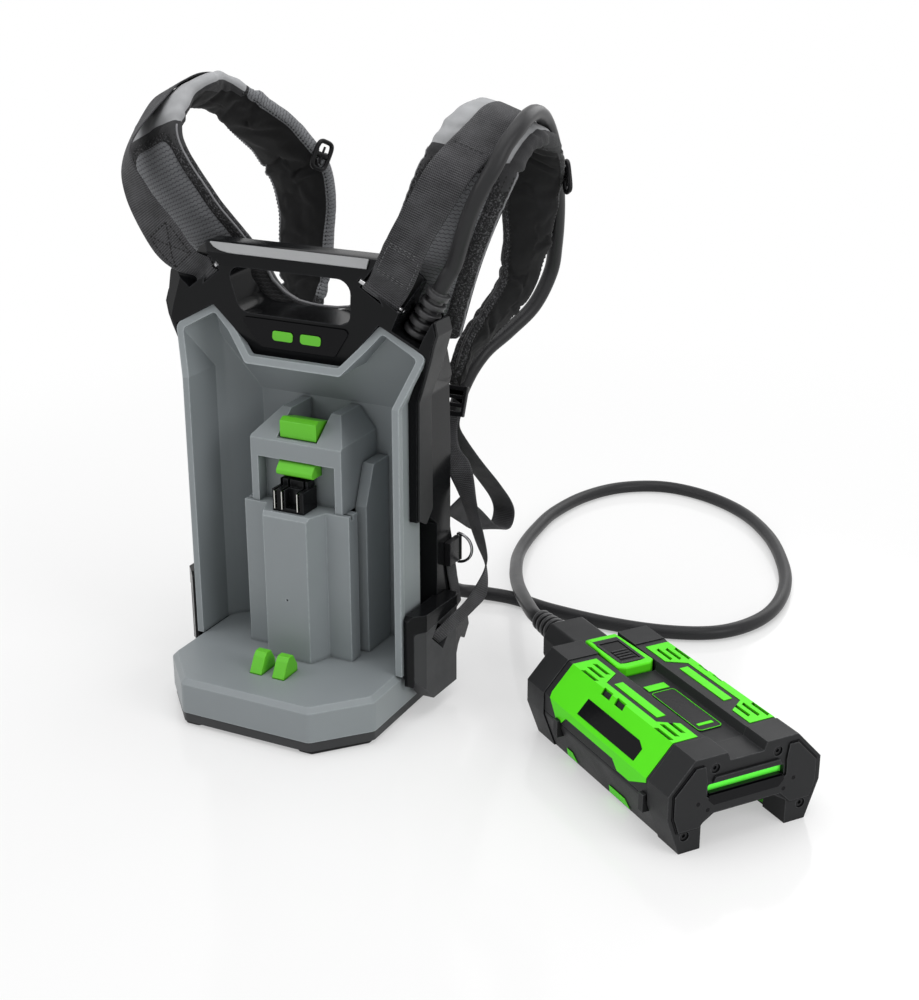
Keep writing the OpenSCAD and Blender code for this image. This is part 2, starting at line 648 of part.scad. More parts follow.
module shoulder_pad_left() color(cloth_grey) set_home()
    band(curve(pad_left_mid, pad_steps), pad_width(pad_left_turn), crowned_section(pad_t));
module shoulder_pad_right() color(cloth_grey) set_home()
    band(curve(pad_right_mid, pad_steps), pad_width(pad_right_turn), crowned_section(pad_t));

// Wide webbing: a loop round the bar, a free bow, then the crown of the pad
loop_r = bar_d / 2 + soft_gap + 0.2 + web_t / 2;
bar_x = [cos(bar_sweep) * cos(bar_dip), sin(bar_sweep) * cos(bar_dip), -sin(bar_dip)];
bar_y = [-sin(bar_sweep), cos(bar_sweep), 0];
bar_z = cross(bar_x, bar_y);
function off_bar(y, z) = bar_centre + y * bar_y + z * bar_z;
bar_loop = [for (p = [[1, 4.2], [1, 2.1], [1, 0], [0.7, -0.7], [0, -1], [-0.7, -0.7], [-1, 0],
    [-1, 2.1]])
    off_bar(loop_r * p[0], loop_r * p[1])];
// Point on the outside of a pad at share t of its length
function on_pad(mid, turn, t) =
    let (a = spline(mid, t - 0.01), b = spline(mid, t + 0.01),
        n = unit(cross(unit(b - a), spline(turn, t))))
    spline(mid, t) - n * (pad_t / 2 + web_t / 2 + 4 * soft_gap);
crown_t = [0.31, 0.36, 0.41, 0.46];
web_left_bow = [[-111, 5, 430], [-133, 1, 451], [-162, 0, 490], [-172, 16, 524]];
web_left_turn = concat([for (i = [0:7]) [-bar_x[0], bar_x[1], bar_x[2]] * -bar_l / 2],
    [[15, -9, 11], [16, -13, 11],
    [17, -13, 11], [18, -12, 12], [20, -6, 9], [20, -6, 9], [20, -7, 10], [20, -8, 10]]);
web_right_bow = [[112, 8, 442], [126, 9, 472], [144, 14, 504], [158, 26, 532]];
web_right_turn = concat([for (i = [0:7]) bar_x * bar_l / 2],
    [[14, 9, -11], [12, 13, -12], [13, 13, -11],
    [18, 8, -9], [21, 4, -8], [21, 3, -8], [21, 3, -8], [21, 3, -8]]);
web_steps = 45;
module top_webbing(loop, bow, web_turn, mid, turn) band(
    curve(concat(loop, bow, [for (t = crown_t) on_pad(mid, turn, t)]), web_steps),
    [for (i = [0:web_steps]) spline(web_turn, i / web_steps) * wide_web / 50], flat_section(web_t));
module top_webbing_left() color(web_black) set_home()
    top_webbing(mirror_x(bar_loop), web_left_bow, web_left_turn, pad_left_mid, pad_left_turn);
module top_webbing_right() color(web_black) set_home()
    top_webbing(bar_loop, web_right_bow, web_right_turn, pad_right_mid, pad_right_turn);

module strap_bars() color(steel) set_home() sides() at_bar()
    translate([-bar_l / 2 - 5, 0, 0]) rotate([0, 90, 0]) cylinder(d = bar_d, h = bar_l + 10, $fn = 32);

// The pods stand clear of the tub and of the base, whichever reaches further out
pod_gap = 0.6;
base_gap = 3.6;
pod_x = max(tub_half + pod_gap, base_half + base_gap);
function beside_pod(side, out, y, z) = [side * (pod_x + out), y, z];

// Narrow webbing from the ladder locks down to the slots of the pods
lower_left_mid = [[-123.5, 212.1, 302.4], [-123.5, 207.4, 293.6], [-126, 200, 272], [-132, 182, 238],
    beside_pod(-1, 24.4, 154, 196), beside_pod(-1, 32.4, 130, 154), beside_pod(-1, 34.4, 116, 126),
    beside_pod(-1, 32.4, 102, 104), beside_pod(-1, 29.4, 82, 96), beside_pod(-1, 25.4, 58, 88),
    beside_pod(-1, 18.4, 46, 80), beside_pod(-1, 13.4, 41, 75)];
lower_left_turn = [[-12, 0, 0], [-12, 0, 0], [-11, -6, 0], [-10, -7, 2], [-9, -7, 3], [-6, -9, 5],
    [-4, 9, -6], [-2, 10, -7],
    [-1, 10, -8], [0, 9, -8], [0, 9, -8], [0, 9, -8]];
lower_right_mid = [[102, 129, 272.1], [102, 125.2, 262.9], [106, 117, 252], [113, 110, 244],
    beside_pod(1, 7.4, 105, 232),
    beside_pod(1, 26.4, 96, 202), beside_pod(1, 34.4, 104, 154), beside_pod(1, 35.4, 111, 128),
    beside_pod(1, 32.4, 104, 104), beside_pod(1, 29.4, 84, 95), beside_pod(1, 24.4, 59, 88),
    beside_pod(1, 18.4, 46, 80), beside_pod(1, 13.4, 41, 75)];
lower_right_turn = [[12, 0, 0], [12, 0, 0], [11, -4, 0], [11, -5, 0], [10, -6, -1], [10, -7, -2],
    [7, -9, -3], [-3, -10, 5],
    [-2, -10, 7], [-1, -10, 8], [0, -9, 8], [0, -9, 8], [0, -9, 8]];
module lower_webbing(mid, turn)
    band(curve(mid, 30), [for (i = [0:30]) unit(spline(turn, i / 30)) * narrow_web / 2],
    flat_section(web_t));
module lower_webbing_left() color(web_black) set_home() lower_webbing(lower_left_mid, lower_left_turn);
module lower_webbing_right() color(web_black) set_home()
    lower_webbing(lower_right_mid, lower_right_turn);

// Loose ends that hang out of the ladder locks and curl
tail_right_mid = [[102, 131.3, 271], [102.2, 130.5, 261], [104, 143, 244], [109, 166, 216],
    [111, 204, 180], [111, 236, 148], [111, 243, 130],
    [111, 230, 120], [111, 198, 130], [111, 164, 150], [111, 134, 166]];
tail_left_mid = [[-123.5, 214.3, 301], [-123.3, 213.6, 291], [-120, 222, 262], [-117, 226, 210],
    [-115, 222, 160], [-113, 218, 120],
    [-113, 224, 92]];
module webbing_tails() color(web_black) set_home() {
    band(curve(tail_right_mid, 30), [for (i = [0:30]) [narrow_web / 2, 0, 0]], flat_section(web_t));
    band(curve(tail_left_mid, 14), [for (i = [0:14]) [-narrow_web / 2, 0, 0]], flat_section(web_t));
}

// Ladder locks at the ends of the pads, set across the webbing
lock_l = 30;
lock_t = 5;
module ladder_lock() difference() {
    translate([-narrow_web / 2 - 4, -lock_t / 2, -lock_l / 2]) cube([narrow_web + 8, lock_t, lock_l]);
    for (z = [-8, 0, 8]) translate([-narrow_web / 2 - 0.5, -lock_t, z - 2])
        cube([narrow_web + 1, lock_t * 2, 4]);
}
lock_left = [-123.5, 220.5, 315.5];
lock_right = [102, 136, 286];
module ladder_locks() color(gloss_black) set_home() {
    translate(lock_left) rotate([-28, 0, 0]) ladder_lock();
    translate(lock_right) rotate([-22, 0, 0]) ladder_lock();
}

// Sliders for the chest strap, clipped onto the edges of the pads
function pad_edge(mid, turn, t, out) = spline(mid, t) + spline(turn,
    t) * pad_w / 88 + unit(spline(turn, t)) * out;
module sternum_sliders() color(gloss_black) set_home() {
    translate(pad_edge(pad_left_mid, pad_left_turn, 0.64, 5.6)) rotate([-20, 0, -30])
        block([-3.5, -8, -14], [3.5, 8, 14]);
    translate(pad_edge(pad_right_mid, pad_right_turn, 0.55, 4.8)) rotate([-24, 0, 40])
        block([-3.5, -8, -14], [3.5, 8, 14]);
}

// ---- D-rings ----
ring_at = [tub_half + 9, 103, 147];
ring_r = ring_h / 2;
module d_ring() {
    w = ring_wire / 2;
    translate([0, 0, -ring_r]) cylinder(r = w, h = ring_h, $fn = 24);
    rotate([90, 0, 0]) difference() {
        rotate_extrude($fn = 64) translate([ring_r, 0]) circle(r = w, $fn = 20);
        translate([-ring_h * 2, -ring_h, -ring_h]) cube([ring_h * 2, ring_h * 2, ring_h * 2]);
    }
}
module d_ring_left() color(steel) set_home() mirror([1, 0, 0]) translate(ring_at) d_ring();
module d_ring_right() color(steel) set_home() translate(ring_at) d_ring();
module d_ring_tabs() color(web_black) set_home() sides() translate(ring_at) difference() {
    union() {
        cylinder(r = ring_wire / 2 + 2.2, h = ring_h - 6, center = true, $fn = 40);
        block([-3.9, -22, -ring_h / 2 + 3], [2.5, 0, ring_h / 2 - 3]);
    }
    cylinder(r = ring_wire / 2 + 0.08, h = ring_h, center = true, $fn = 40);
}

// ---- strap pods at the foot of the frame ----
pod_out = 20;
pod_back = 86;
pod_plan = [[pod_x, 4], [pod_x + 4, 3], [pod_x + 17, 17], [pod_x + pod_out, 76],
    [pod_x + 15, pod_back], [pod_x + 5, pod_back],
    [pod_x + 5, 64], [pod_x, 64]];
slot_at = [pod_x + 17, 44, 78];
slot_turn = 42;
module at_slot() {
    translate(slot_at) rotate([-slot_turn, 0, 0]) children();
}
module strap_pod() {
    along_x(tub_half + pod_gap, pod_x + 1) polygon([[30, 60], [62, 60], [62, 88], [30, 88]]);
    strap_pod_body();
}
module strap_pod_body() difference() {
    intersection() {
        along_x(pod_x, pod_x + 40) polygon(rounded([[8, 92], [8, 42], [30, 17], [82, 17], [88, 26],
            [88, 99.6]], 3));
        along_z(10, 104) polygon(rounded(pod_plan, 1.5, 3));
    }
    at_slot() block([-13, -narrow_web / 2 - 1.5, -8], [14, narrow_web / 2 + 1.5, 9]);
}
module strap_pod_left() color(dark_grey) set_home() mirror([1, 0, 0]) strap_pod();
module strap_pod_right() color(dark_grey) set_home() strap_pod();
module pod_caps() color(gloss_black) set_home() sides() intersection() {
    along_x(pod_x, pod_x + 40) polygon(rounded([[2, 40], [2, 106], [7, 111], [83, 109], [88, 105],
        [88, 100], [7.7, 92.4],
        [7.7, 34]], 1.5, 3));
    along_z(20, 140) polygon(rounded(inset(pod_plan, -0.5), 2, 3));
}

// Hooks behind the pods that take the lower ends of the webbing
module pod_hooks() color(gloss_black) set_home() sides()
    along_x(pod_x + 6, pod_x + 14) translate([pod_back + soft_gap, 0])
        polygon(rounded([[0, 34], [0, 66], [12, 78], [26, 76],
        [30, 60], [20, 48], [12, 54], [6, 48]], 1.5, 3));

// ---- cable ----
// Rubber strain relief: a core with ribs, standing on its end
module relief(l, r0, r1, core) union() {
    cylinder(r1 = core + 1.2, r2 = core, h = l, $fn = 40);
    for (i = [0:relief_ribs - 1]) translate([0, 0, l * (i + 0.25) / relief_ribs])
        cylinder(r = r0 + (r1 - r0) * i / relief_ribs, h = l / relief_ribs * 0.5, $fn = 40);
}
relief_l = 50;
module cable_gland() color("#1d1e20") set_home() at_gland()
    relief(relief_l, 13.5, 10.5, cable_d / 2 + 0.8);

// Pair of leads from the terminal block through the column and up inside the frame
module lead_wires() color("#b03028") set_home() {
    for (x = [-3.4, 3.4]) tube(curve([[x, 12, column_z + 1.7], [x, 12, 180], [x, 20, 150], [x, 36, 110],
        [x, 45, 70], [x, 45, 47], [x, 45, 30]], 24), 2.6, 8);
}

// Route of the cable: out of the gland, over the right strap, down behind the frame, along the
// floor in one wide loop and back to the adapter
gland_dir = [cos(gland_back) * sin(gland_lean), sin(gland_back), cos(gland_back) * cos(gland_lean)];
gland_end = gland_at + relief_l * gland_dir;
cable_route = [[168, 37, 487], [181, 35, 514], [191, 41, 534], [196, 52, 552], [200, 68, 567],
    [200, 88, 576], [196, 116, 577], [190, 150, 567], [176, 193, 547], [168, 220, 524],
        [160, 244, 494], [156, 262, 460],
    [151, 271, 420], [146, 268, 383], [136, 248, 354], [122, 224, 336], [108, 196, 318],
        [96, 176, 288], [84, 168, 240],
    [68, 176, 170], [50, 204, 98], [38, 242, 42], [40, 274, 16], [62, 292, 9], [100, 296, 8],
        [150, 286, 7.9],
    [220, 282, 7.9], [282, 290, 7.9], [330, 312, 7.9], [358, 352, 7.9], [368, 404, 7.9],
        [360, 470, 7.9], [336, 536, 7.9],
    [300, 602, 7.9], [250, 660, 7.9], [190, 696, 7.9], [130, 704, 7.9], [80, 676, 7.9],
        [50, 624, 7.9], [36, 556, 7.9],
    [34, 486, 8.4], [48, 410, 12], [76, 338, 24], [112, 274, 42], [144, 218, 53]];
cable_steps = 78;

// ---- adapter ----
adapter_at = [380, 21, 0];
adapter_yaw = -37;
near_u = 115;
far_u = near_u - adapter_l;
neck_l = 62;
neck_z = 56;
relief2_l = 52;
module at_adapter() {
    translate(adapter_at) rotate([0, 0, adapter_yaw]) children();
}
adapter_dir = [cos(adapter_yaw), sin(adapter_yaw), 0];
relief2_end = adapter_at + (far_u - neck_l - relief2_l) * adapter_dir + [0, 0, neck_z];
cable_points = concat([for (i = [0:2]) gland_end + i * cable_d * gland_dir], cable_route,
    [for (i = [2:-1:0]) relief2_end - i * cable_d * adapter_dir]);
module power_cable() color("#202123") set_home() tube(curve(cable_points, cable_steps), cable_d / 2, 8);

module adapter_strain_relief() color("#1d1e20") set_home() at_adapter() {
    translate([far_u - neck_l, 0, neck_z]) rotate([0, -90, 0])
        relief(relief2_l, 13.5, 11, cable_d / 2 + 0.8);
}

// Cross section of the adapter: Y across, Z up, open channel underneath
adapter_half_outline = [[channel_half, 0], [adapter_half - 13, 0], [adapter_half, 36],
    [adapter_half, 58],
    [adapter_half - 25, adapter_h], [trough_half + 3, adapter_h],
        [trough_half, adapter_h - trough_depth]];
channel_top = [[-channel_half + 16, channel_h], [-channel_half, channel_h - 10]];
function channel_edge() = [[-channel_half, 0], [-channel_half, channel_h - 10],
    [-channel_half + 16, channel_h],
    [channel_half - 16, channel_h], [channel_half, channel_h - 10]];
function adapter_section(d) = let (o = concat(adapter_half_outline, flip(adapter_half_outline),
    [[-channel_half, channel_h - 10], [-channel_half + 16, channel_h], [channel_half - 16, channel_h],
    [channel_half, channel_h - 10]])) inset(o, d);
split_h = 40;
panel_u0 = far_u + cap_l + 8;
panel_u1 = near_u - cap_l - 4;

module body_between(u0, u1, d) along_x(u0, u1) polygon(adapter_section(d));

// Outline of the side panel from the side: cut corners and a step that the shell fills
panel_side = [[panel_u0, 62], [panel_u0 + 14, 42], [panel_u0 + 24, 42], [panel_u0 + 32, 50],
    [panel_u1 - 54, 50], [panel_u1 - 46, 42], [panel_u1 - 26, 42], [panel_u1, 54],
    [panel_u1, adapter_h + 4], [panel_u0, adapter_h + 4]];
module panel_space(g) intersection() {
    along_y(-big, big) polygon(inset(panel_side, -g));
    along_x(panel_u0 - g, panel_u1 + g)
        polygon(concat([[0, split_h], [-adapter_half - 1, split_h], [-adapter_half - 1, 60],
        [-adapter_half + 24, adapter_h + 1], [0, adapter_h + 1]]));
    translate([0, 0, 0]) along_z(0, big)
        polygon([[panel_u0 - g, -adapter_half - 2], [panel_u1 + g, -adapter_half - 2],
        [panel_u1 + g, -27 + g], [panel_u1 - 26 - g, -27 + g], [panel_u1 - 38, -44 + g],
            [panel_u0 + 46, -44 + g],
        [panel_u0 + 34 + g, -27 + g], [panel_u0 - g, -27 + g]]);
}

module adapter_top_shell() color(dark_grey) set_home() at_adapter() difference() {
    intersection() {
        body_between(far_u + cap_l, near_u - cap_l, 0);
        block([-big, -big, split_h], [big, big, big]);
    }
    intersection() {
        body_between(far_u + cap_l - 1, near_u - cap_l + 1, 3);
        block([-big, -big, split_h - 1], [big, big, big]);
    }
    for (s = [0, 1]) mirror([0, s, 0]) difference() {
        panel_space(0.3);
        body_between(-big / 2, big / 2, 2);
    }
    block([bars_u0 - 0.2, -bar_v - bar_half - 0.2, adapter_h - 1],
        [bars_u1 + 0.2, -bar_v + bar_half + 0.2, adapter_h + 1]);
    block([bars_u0 - 0.2, bar_v - bar_half - 0.2, adapter_h - 1],
        [bars_u1 + 0.2, bar_v + bar_half + 0.2, adapter_h + 1]);
    block([far_u, -thumb_half - 4 - 0.2, adapter_h - 12],
        [thumb_u1 + 10.2, thumb_half + 4.2, adapter_h + 1]);
}

module adapter_bottom_shell() color(dark_grey) set_home() at_adapter() difference() {
    intersection() {
        body_between(far_u + cap_l, near_u - cap_l, 0);
        block([-big, -big, 0], [big, big, split_h]);
    }
    intersection() {
        body_between(far_u + cap_l - 1, near_u - cap_l + 1, 3);
        block([-big, -big, -1], [big, big, split_h + 1]);
    }
}

slot_half = 39;
slot_z = 55;
module adapter_near_cap() color(dark_grey) set_home() at_adapter() difference() {
    union() {
        body_between(near_u - cap_l, near_u, -1.2);
    }
    body_between(near_u - cap_l - 1, near_u - 5, 3);
    along_x(near_u - 8, near_u + 1)
        polygon(rounded([[-slot_half, slot_z - 5], [-slot_half + 6, slot_z - 7],
        [slot_half - 6, slot_z - 7], [slot_half, slot_z - 5], [slot_half, slot_z + 5],
            [-slot_half, slot_z + 5]], 2));
    for (v = [-32, 32]) translate([near_u + 0.1, v, 74]) rotate([0, -90, 0])
        cylinder(r = 4.5, h = 4.6, $fn = 32);
    for (v = [-60, 60]) translate([near_u + 0.1, v, 16]) rotate([0, -90, 0])
        cylinder(r = 4.5, h = 4.6, $fn = 32);
    for (v = [-32, 32]) translate([near_u, v, 74]) rotate([0, -90, 0]) cylinder(r = 2, h = 9, $fn = 24);
    for (v = [-60, 60]) translate([near_u, v, 16]) rotate([0, -90, 0]) cylinder(r = 2, h = 9, $fn = 24);
    for (v = [-49, -39, 39, 49]) translate([near_u + 0.1, v, v * v > 2000 ? 45 : 37])
        rotate([0, -90, 0])
        cylinder(r = 2, h = 8, $fn = 24);
    block([-big, -big, -20], [big, big, 0]);
}

module adapter_far_cap() color(dark_grey) set_home() at_adapter() {
    difference() {
        body_between(far_u, far_u + cap_l, -1.2);
        body_between(far_u + 4, far_u + cap_l + 1, 3);
        block([-big, -big, -20], [big, big, 0]);
        block([far_u - 1, -thumb_half - 4.2, adapter_h - 12],
            [far_u + cap_l + 1, thumb_half + 4.2, adapter_h + 4]);
    }
    along_x(far_u - neck_l, far_u) polygon(rounded([[-20, 34], [20, 34], [26, 46], [26, 64],
        [18, 77], [-18, 77],
        [-26, 64], [-26, 46]], 4));
}

module adapter_side_panels() color(lime) set_home() at_adapter() for (s = [0, 1]) mirror([0, s, 0])
    difference() {
    intersection() {
        panel_space(0);
        body_between(-big / 2, big / 2, -0.6);
    }
    body_between(-big / 2, big / 2, 2);
    for (u0 = [panel_u0 + 8, panel_u1 - 36], k = [0:2]) translate([u0 + k * 3, -36 - k * 8, 0])
        along_z(40, big) polygon([[0, 0], [24, 0], [26, 3.6], [2, 3.6]]);
    for (u0 = [panel_u0 + 56, panel_u0 + 78]) along_z(40, big)
        polygon([[u0, -56], [u0 + 14, -56], [u0 + 12, -50], [u0 - 2, -50]]);
}

bars_u0 = -34;
bars_u1 = 36;
bar_v = 35;
bar_half = 4.5;
module adapter_bars() color(lime) set_home() at_adapter() {
    for (s = [-1, 1]) block([bars_u0, s * bar_v - bar_half, adapter_h - 1],
        [bars_u1, s * bar_v + bar_half, adapter_h + 0.8]);
    block([-30, -11, adapter_h - trough_depth], [-20, 11, adapter_h - trough_depth + 1]);
}
module adapter_badge() color("#101113") set_home() at_adapter()
    translate([0, 0, adapter_h - trough_depth])
    linear_extrude(1) polygon(rounded([[-16, -12.5], [62, -12.5], [62, 12.5], [-16, 12.5]], 4));

// Thumb button and its frame, set into the trough at the cable end
thumb_u0 = far_u + 14;
thumb_u1 = -66;
thumb_half = 16;
module adapter_button() color("#2c2d2f") set_home() at_adapter() difference() {
    along_z(adapter_h - 8, adapter_h + 0.5)
        polygon(rounded([[thumb_u0, -thumb_half + 3], [thumb_u1, -thumb_half + 4],
        [thumb_u1, thumb_half - 4], [thumb_u0, thumb_half - 3]], 5));
    for (k = [0:3]) block([thumb_u0 + 22 + k * 5, -9, adapter_h - 0.6],
        [thumb_u0 + 23.2 + k * 5, 9, adapter_h + 1]);
}
module adapter_button_frame() color(lime) set_home() at_adapter() difference() {
    union() {
        along_z(adapter_h - 11.8, adapter_h + 1)
            polygon(rounded([[far_u + 1, -thumb_half - 1], [thumb_u1 + 4, -thumb_half - 4],
            [thumb_u1 + 10, -thumb_half + 3], [thumb_u1 + 10, thumb_half - 3],
                [thumb_u1 + 4, thumb_half + 4], [far_u + 1, thumb_half + 1]], 2));
    }
    along_z(adapter_h - 10.5, adapter_h + 2)
        polygon(rounded([[thumb_u0 - 0.3, -thumb_half + 2.7], [thumb_u1 + 0.3, -thumb_half + 3.7],
        [thumb_u1 + 0.3, thumb_half - 3.7], [thumb_u0 - 0.3, thumb_half - 2.7]], 5));
}
module adapter_button_spring() color(steel) set_home() at_adapter()
    translate([(thumb_u0 + thumb_u1) / 2, 0, 0])
    spring(4, 0.5, adapter_h - 10.5, adapter_h - 8, 1);

module adapter_light_bar() color("#7dff4a") set_home() at_adapter()
    block([near_u - 7.2, -slot_half - 3, slot_z - 10], [near_u - 5.2, slot_half + 3, slot_z + 8]);

module adapter_terminals() color(steel) set_home() at_adapter() for (v = [-14, -5, 5, 14])
    block([far_u + 60, v - 0.6, channel_h + 3.4], [far_u + 90, v + 0.6, channel_h + 14]);
module adapter_board() color("#1f5b34") set_home() at_adapter()
    block([far_u + cap_l + 6, -44, channel_h + 14.4], [near_u - cap_l - 6, 44, channel_h + 16]);
module adapter_screws() color(steel) set_home() at_adapter() {
    for (v = [-32, 32]) translate([near_u - 1.5, v, 74]) rotate([0, 90, 0]) screw(4, 1.7, 6);
    for (v = [-60, 60]) translate([near_u - 1.5, v, 16]) rotate([0, 90, 0]) screw(4, 1.7, 6);
}

base_housing();
base_pan();
rubber_feet();
case_screws();
front_shell();
rear_frame();
side_covers();
handle_grip();
name_plate();
name_marks();
dock_column();
dock_head();
guide_rails();
terminal_block();
terminal_blades();
release_button();
button_spring();
battery_latch();
ejector_left();
ejector_right();
ejector_spring_left();
ejector_spring_right();
back_pad();
lumbar_pad();
yoke_pad();
shoulder_pad_left();
shoulder_pad_right();
top_webbing_left();
top_webbing_right();
lower_webbing_left();
lower_webbing_right();
webbing_tails();
ladder_locks();
strap_bars();
d_ring_left();
d_ring_right();
d_ring_tabs();
sternum_sliders();
strap_pod_left();
strap_pod_right();
pod_caps();
pod_hooks();
cable_gland();
lead_wires();
power_cable();
adapter_strain_relief();
adapter_top_shell();
adapter_bottom_shell();
adapter_near_cap();
adapter_far_cap();
adapter_side_panels();
adapter_button();
adapter_button_frame();
adapter_button_spring();
adapter_bars();
adapter_badge();
adapter_light_bar();
adapter_terminals();
adapter_board();
adapter_screws();
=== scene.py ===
import json
import math

import bmesh
import bpy
import numpy as np
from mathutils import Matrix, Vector, noise


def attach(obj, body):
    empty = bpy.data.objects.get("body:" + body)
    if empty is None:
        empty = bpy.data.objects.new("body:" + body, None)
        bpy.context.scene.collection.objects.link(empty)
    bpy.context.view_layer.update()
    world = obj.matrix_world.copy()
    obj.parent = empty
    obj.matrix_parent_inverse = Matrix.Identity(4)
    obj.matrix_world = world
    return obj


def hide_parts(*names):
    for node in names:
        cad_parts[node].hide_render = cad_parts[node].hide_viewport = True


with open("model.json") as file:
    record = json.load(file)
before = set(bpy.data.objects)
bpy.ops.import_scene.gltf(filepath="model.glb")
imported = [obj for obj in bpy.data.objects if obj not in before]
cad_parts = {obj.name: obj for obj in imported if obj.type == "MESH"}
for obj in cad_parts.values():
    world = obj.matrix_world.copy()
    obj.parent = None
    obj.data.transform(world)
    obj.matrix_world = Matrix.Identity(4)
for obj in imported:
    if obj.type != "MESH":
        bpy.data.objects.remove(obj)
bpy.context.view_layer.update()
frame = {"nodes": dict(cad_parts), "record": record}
nodes = frame["nodes"]
scene = bpy.context.scene
scene.view_settings.view_transform = "Standard"
mm = 0.001
homeY = 86.5  # the carrier's origin lies this far behind the tub's front edge


def spot(x, y, z):
    return Vector((x * mm, (y - homeY) * mm, z * mm))


def placed(points):
    return (np.asarray(points, float) - [0, homeY, 0]) * mm


# Curves through listed points
def unit(v):
    return v / np.linalg.norm(v)


def eachUnit(rows):
    return rows / np.linalg.norm(rows, axis=1)[:, None]


def runAlong(line):
    return np.concatenate([[0], np.cumsum(np.linalg.norm(np.diff(line, axis=0), axis=1))])


def squared(value, power):
    return np.sign(value) * np.abs(value) ** power


def splineAt(points, t):
    p = np.asarray(points, float)
    last = len(p) - 1
    s = min(max(t, 0.0), 1.0) * last
    k = min(int(math.floor(s)), last - 1)
    u = s - k
    a, b, c, d = p[max(k - 1, 0)], p[k], p[k + 1], p[min(k + 2, last)]
    return 0.5 * (2 * b + (c - a) * u + (2 * a - 5 * b + 4 * c - d) * u * u
                  + (3 * b - a - 3 * c + d) * u * u * u)


def smoothLine(points, steps):
    return np.array([splineAt(points, i / steps) for i in range(steps + 1)])


def lineLength(line):
    return float(np.linalg.norm(np.diff(np.asarray(line), axis=0), axis=1).sum())


def tangents(line):
    t = np.empty_like(line)
    t[1:-1] = line[2:] - line[:-2]
    t[0], t[-1] = line[1] - line[0], line[-1] - line[-2]
    return eachUnit(t)


def addObject(name, data):
    made = bpy.data.objects.new(name, data)
    scene.collection.objects.link(made)
    return made


def aimAt(thing, target):
    thing.rotation_euler = (Vector(target) - thing.location).to_track_quat("-Z", "Y").to_euler()


# Camera
viewpoint = {"lens": 60.88, "from": (806.3, -1274.0, 789.3), "to": (178.3, 0.0, 241.3)}
cameraData = bpy.data.cameras.new("viewCamera")
cameraData.lens = viewpoint["lens"]
cameraData.sensor_width = 36
cameraData.clip_end = 100
camera = addObject("viewCamera", cameraData)
camera.location = spot(*viewpoint["from"])
aimAt(camera, spot(*viewpoint["to"]))
scene.camera = camera
print("camera placed")


# Shader building blocks
def addNode(tree, kind, settings=None, **values):
    made = tree.nodes.new(kind)
    for key, value in (settings or {}).items():
        setattr(made, key, value)
    for key, value in values.items():
        made.inputs[key.replace("_", " ")].default_value = value
    return made


def join(tree, source, target):
    tree.links.new(source, target)


def mathNode(tree, operation, a, b=None, c=None, clamp=False):
    made = addNode(tree, "ShaderNodeMath", {"operation": operation, "use_clamp": clamp})
    for socket, value in zip(made.inputs, (a, b, c)):
        if value is None:
            continue
        if isinstance(value, bpy.types.NodeSocket):
            join(tree, value, socket)
        else:
            socket.default_value = value
    return made.outputs[0]


def fadeNode(tree, value, low, high, toLow=0.0, toHigh=1.0):
    made = addNode(tree, "ShaderNodeMapRange", {"interpolation_type": "SMOOTHSTEP"},
                   From_Min=low, From_Max=high, To_Min=toLow, To_Max=toHigh)
    join(tree, value, made.inputs["Value"])
    return made.outputs["Result"]


def mixColours(tree, factor, a, b):
    made = addNode(tree, "ShaderNodeMix", {"data_type": "RGBA", "clamp_factor": True})
    for socket, value in ((made.inputs[0], factor), (made.inputs[6], a), (made.inputs[7], b)):
        if isinstance(value, bpy.types.NodeSocket):
            join(tree, value, socket)
        elif isinstance(value, (tuple, list)):
            socket.default_value = (*value, 1.0) if len(value) == 3 else value
        else:
            socket.default_value = value
    return made.outputs[2]


def noiseNode(tree, scale, detail=2.0, roughness=0.5):
    made = addNode(tree, "ShaderNodeTexNoise", Detail=detail, Roughness=roughness)
    if isinstance(scale, bpy.types.NodeSocket):
        join(tree, scale, made.inputs["Scale"])
    else:
        made.inputs["Scale"].default_value = scale
    join(tree, addNode(tree, "ShaderNodeTexCoord").outputs["Object"], made.inputs["Vector"])
    return made.outputs["Fac"]


def startGroup(name, inputs, outputs):
    group = bpy.data.node_groups.new(name, "ShaderNodeTree")
    for label, value in inputs.items():
        group.interface.new_socket(name=label, in_out="INPUT", socket_type="NodeSocketFloat").default_value = value
    for label in outputs:
        group.interface.new_socket(name=label, in_out="OUTPUT", socket_type="NodeSocketFloat")
    return group, group.nodes.new("NodeGroupInput").outputs, group.nodes.new("NodeGroupOutput").inputs


def useGroup(tree, group, **values):
    made = tree.nodes.new("ShaderNodeGroup")
    made.node_tree = group
    for key, value in values.items():
        socket = made.inputs[key.replace("_", " ")]
        if isinstance(value, bpy.types.NodeSocket):
            join(tree, value, socket)
        else:
            socket.default_value = value
    return made.outputs


# Fine moulded texture with a slow change of tone
mouldedGrain, entry, leave = startGroup("mouldedGrain", {"Scale": 1500.0}, ("Height", "Tone"))
join(mouldedGrain, noiseNode(mouldedGrain, entry["Scale"], 3.0, 0.6), leave["Height"])
join(mouldedGrain, noiseNode(mouldedGrain, 16.0, 4.0, 0.6), leave["Tone"])
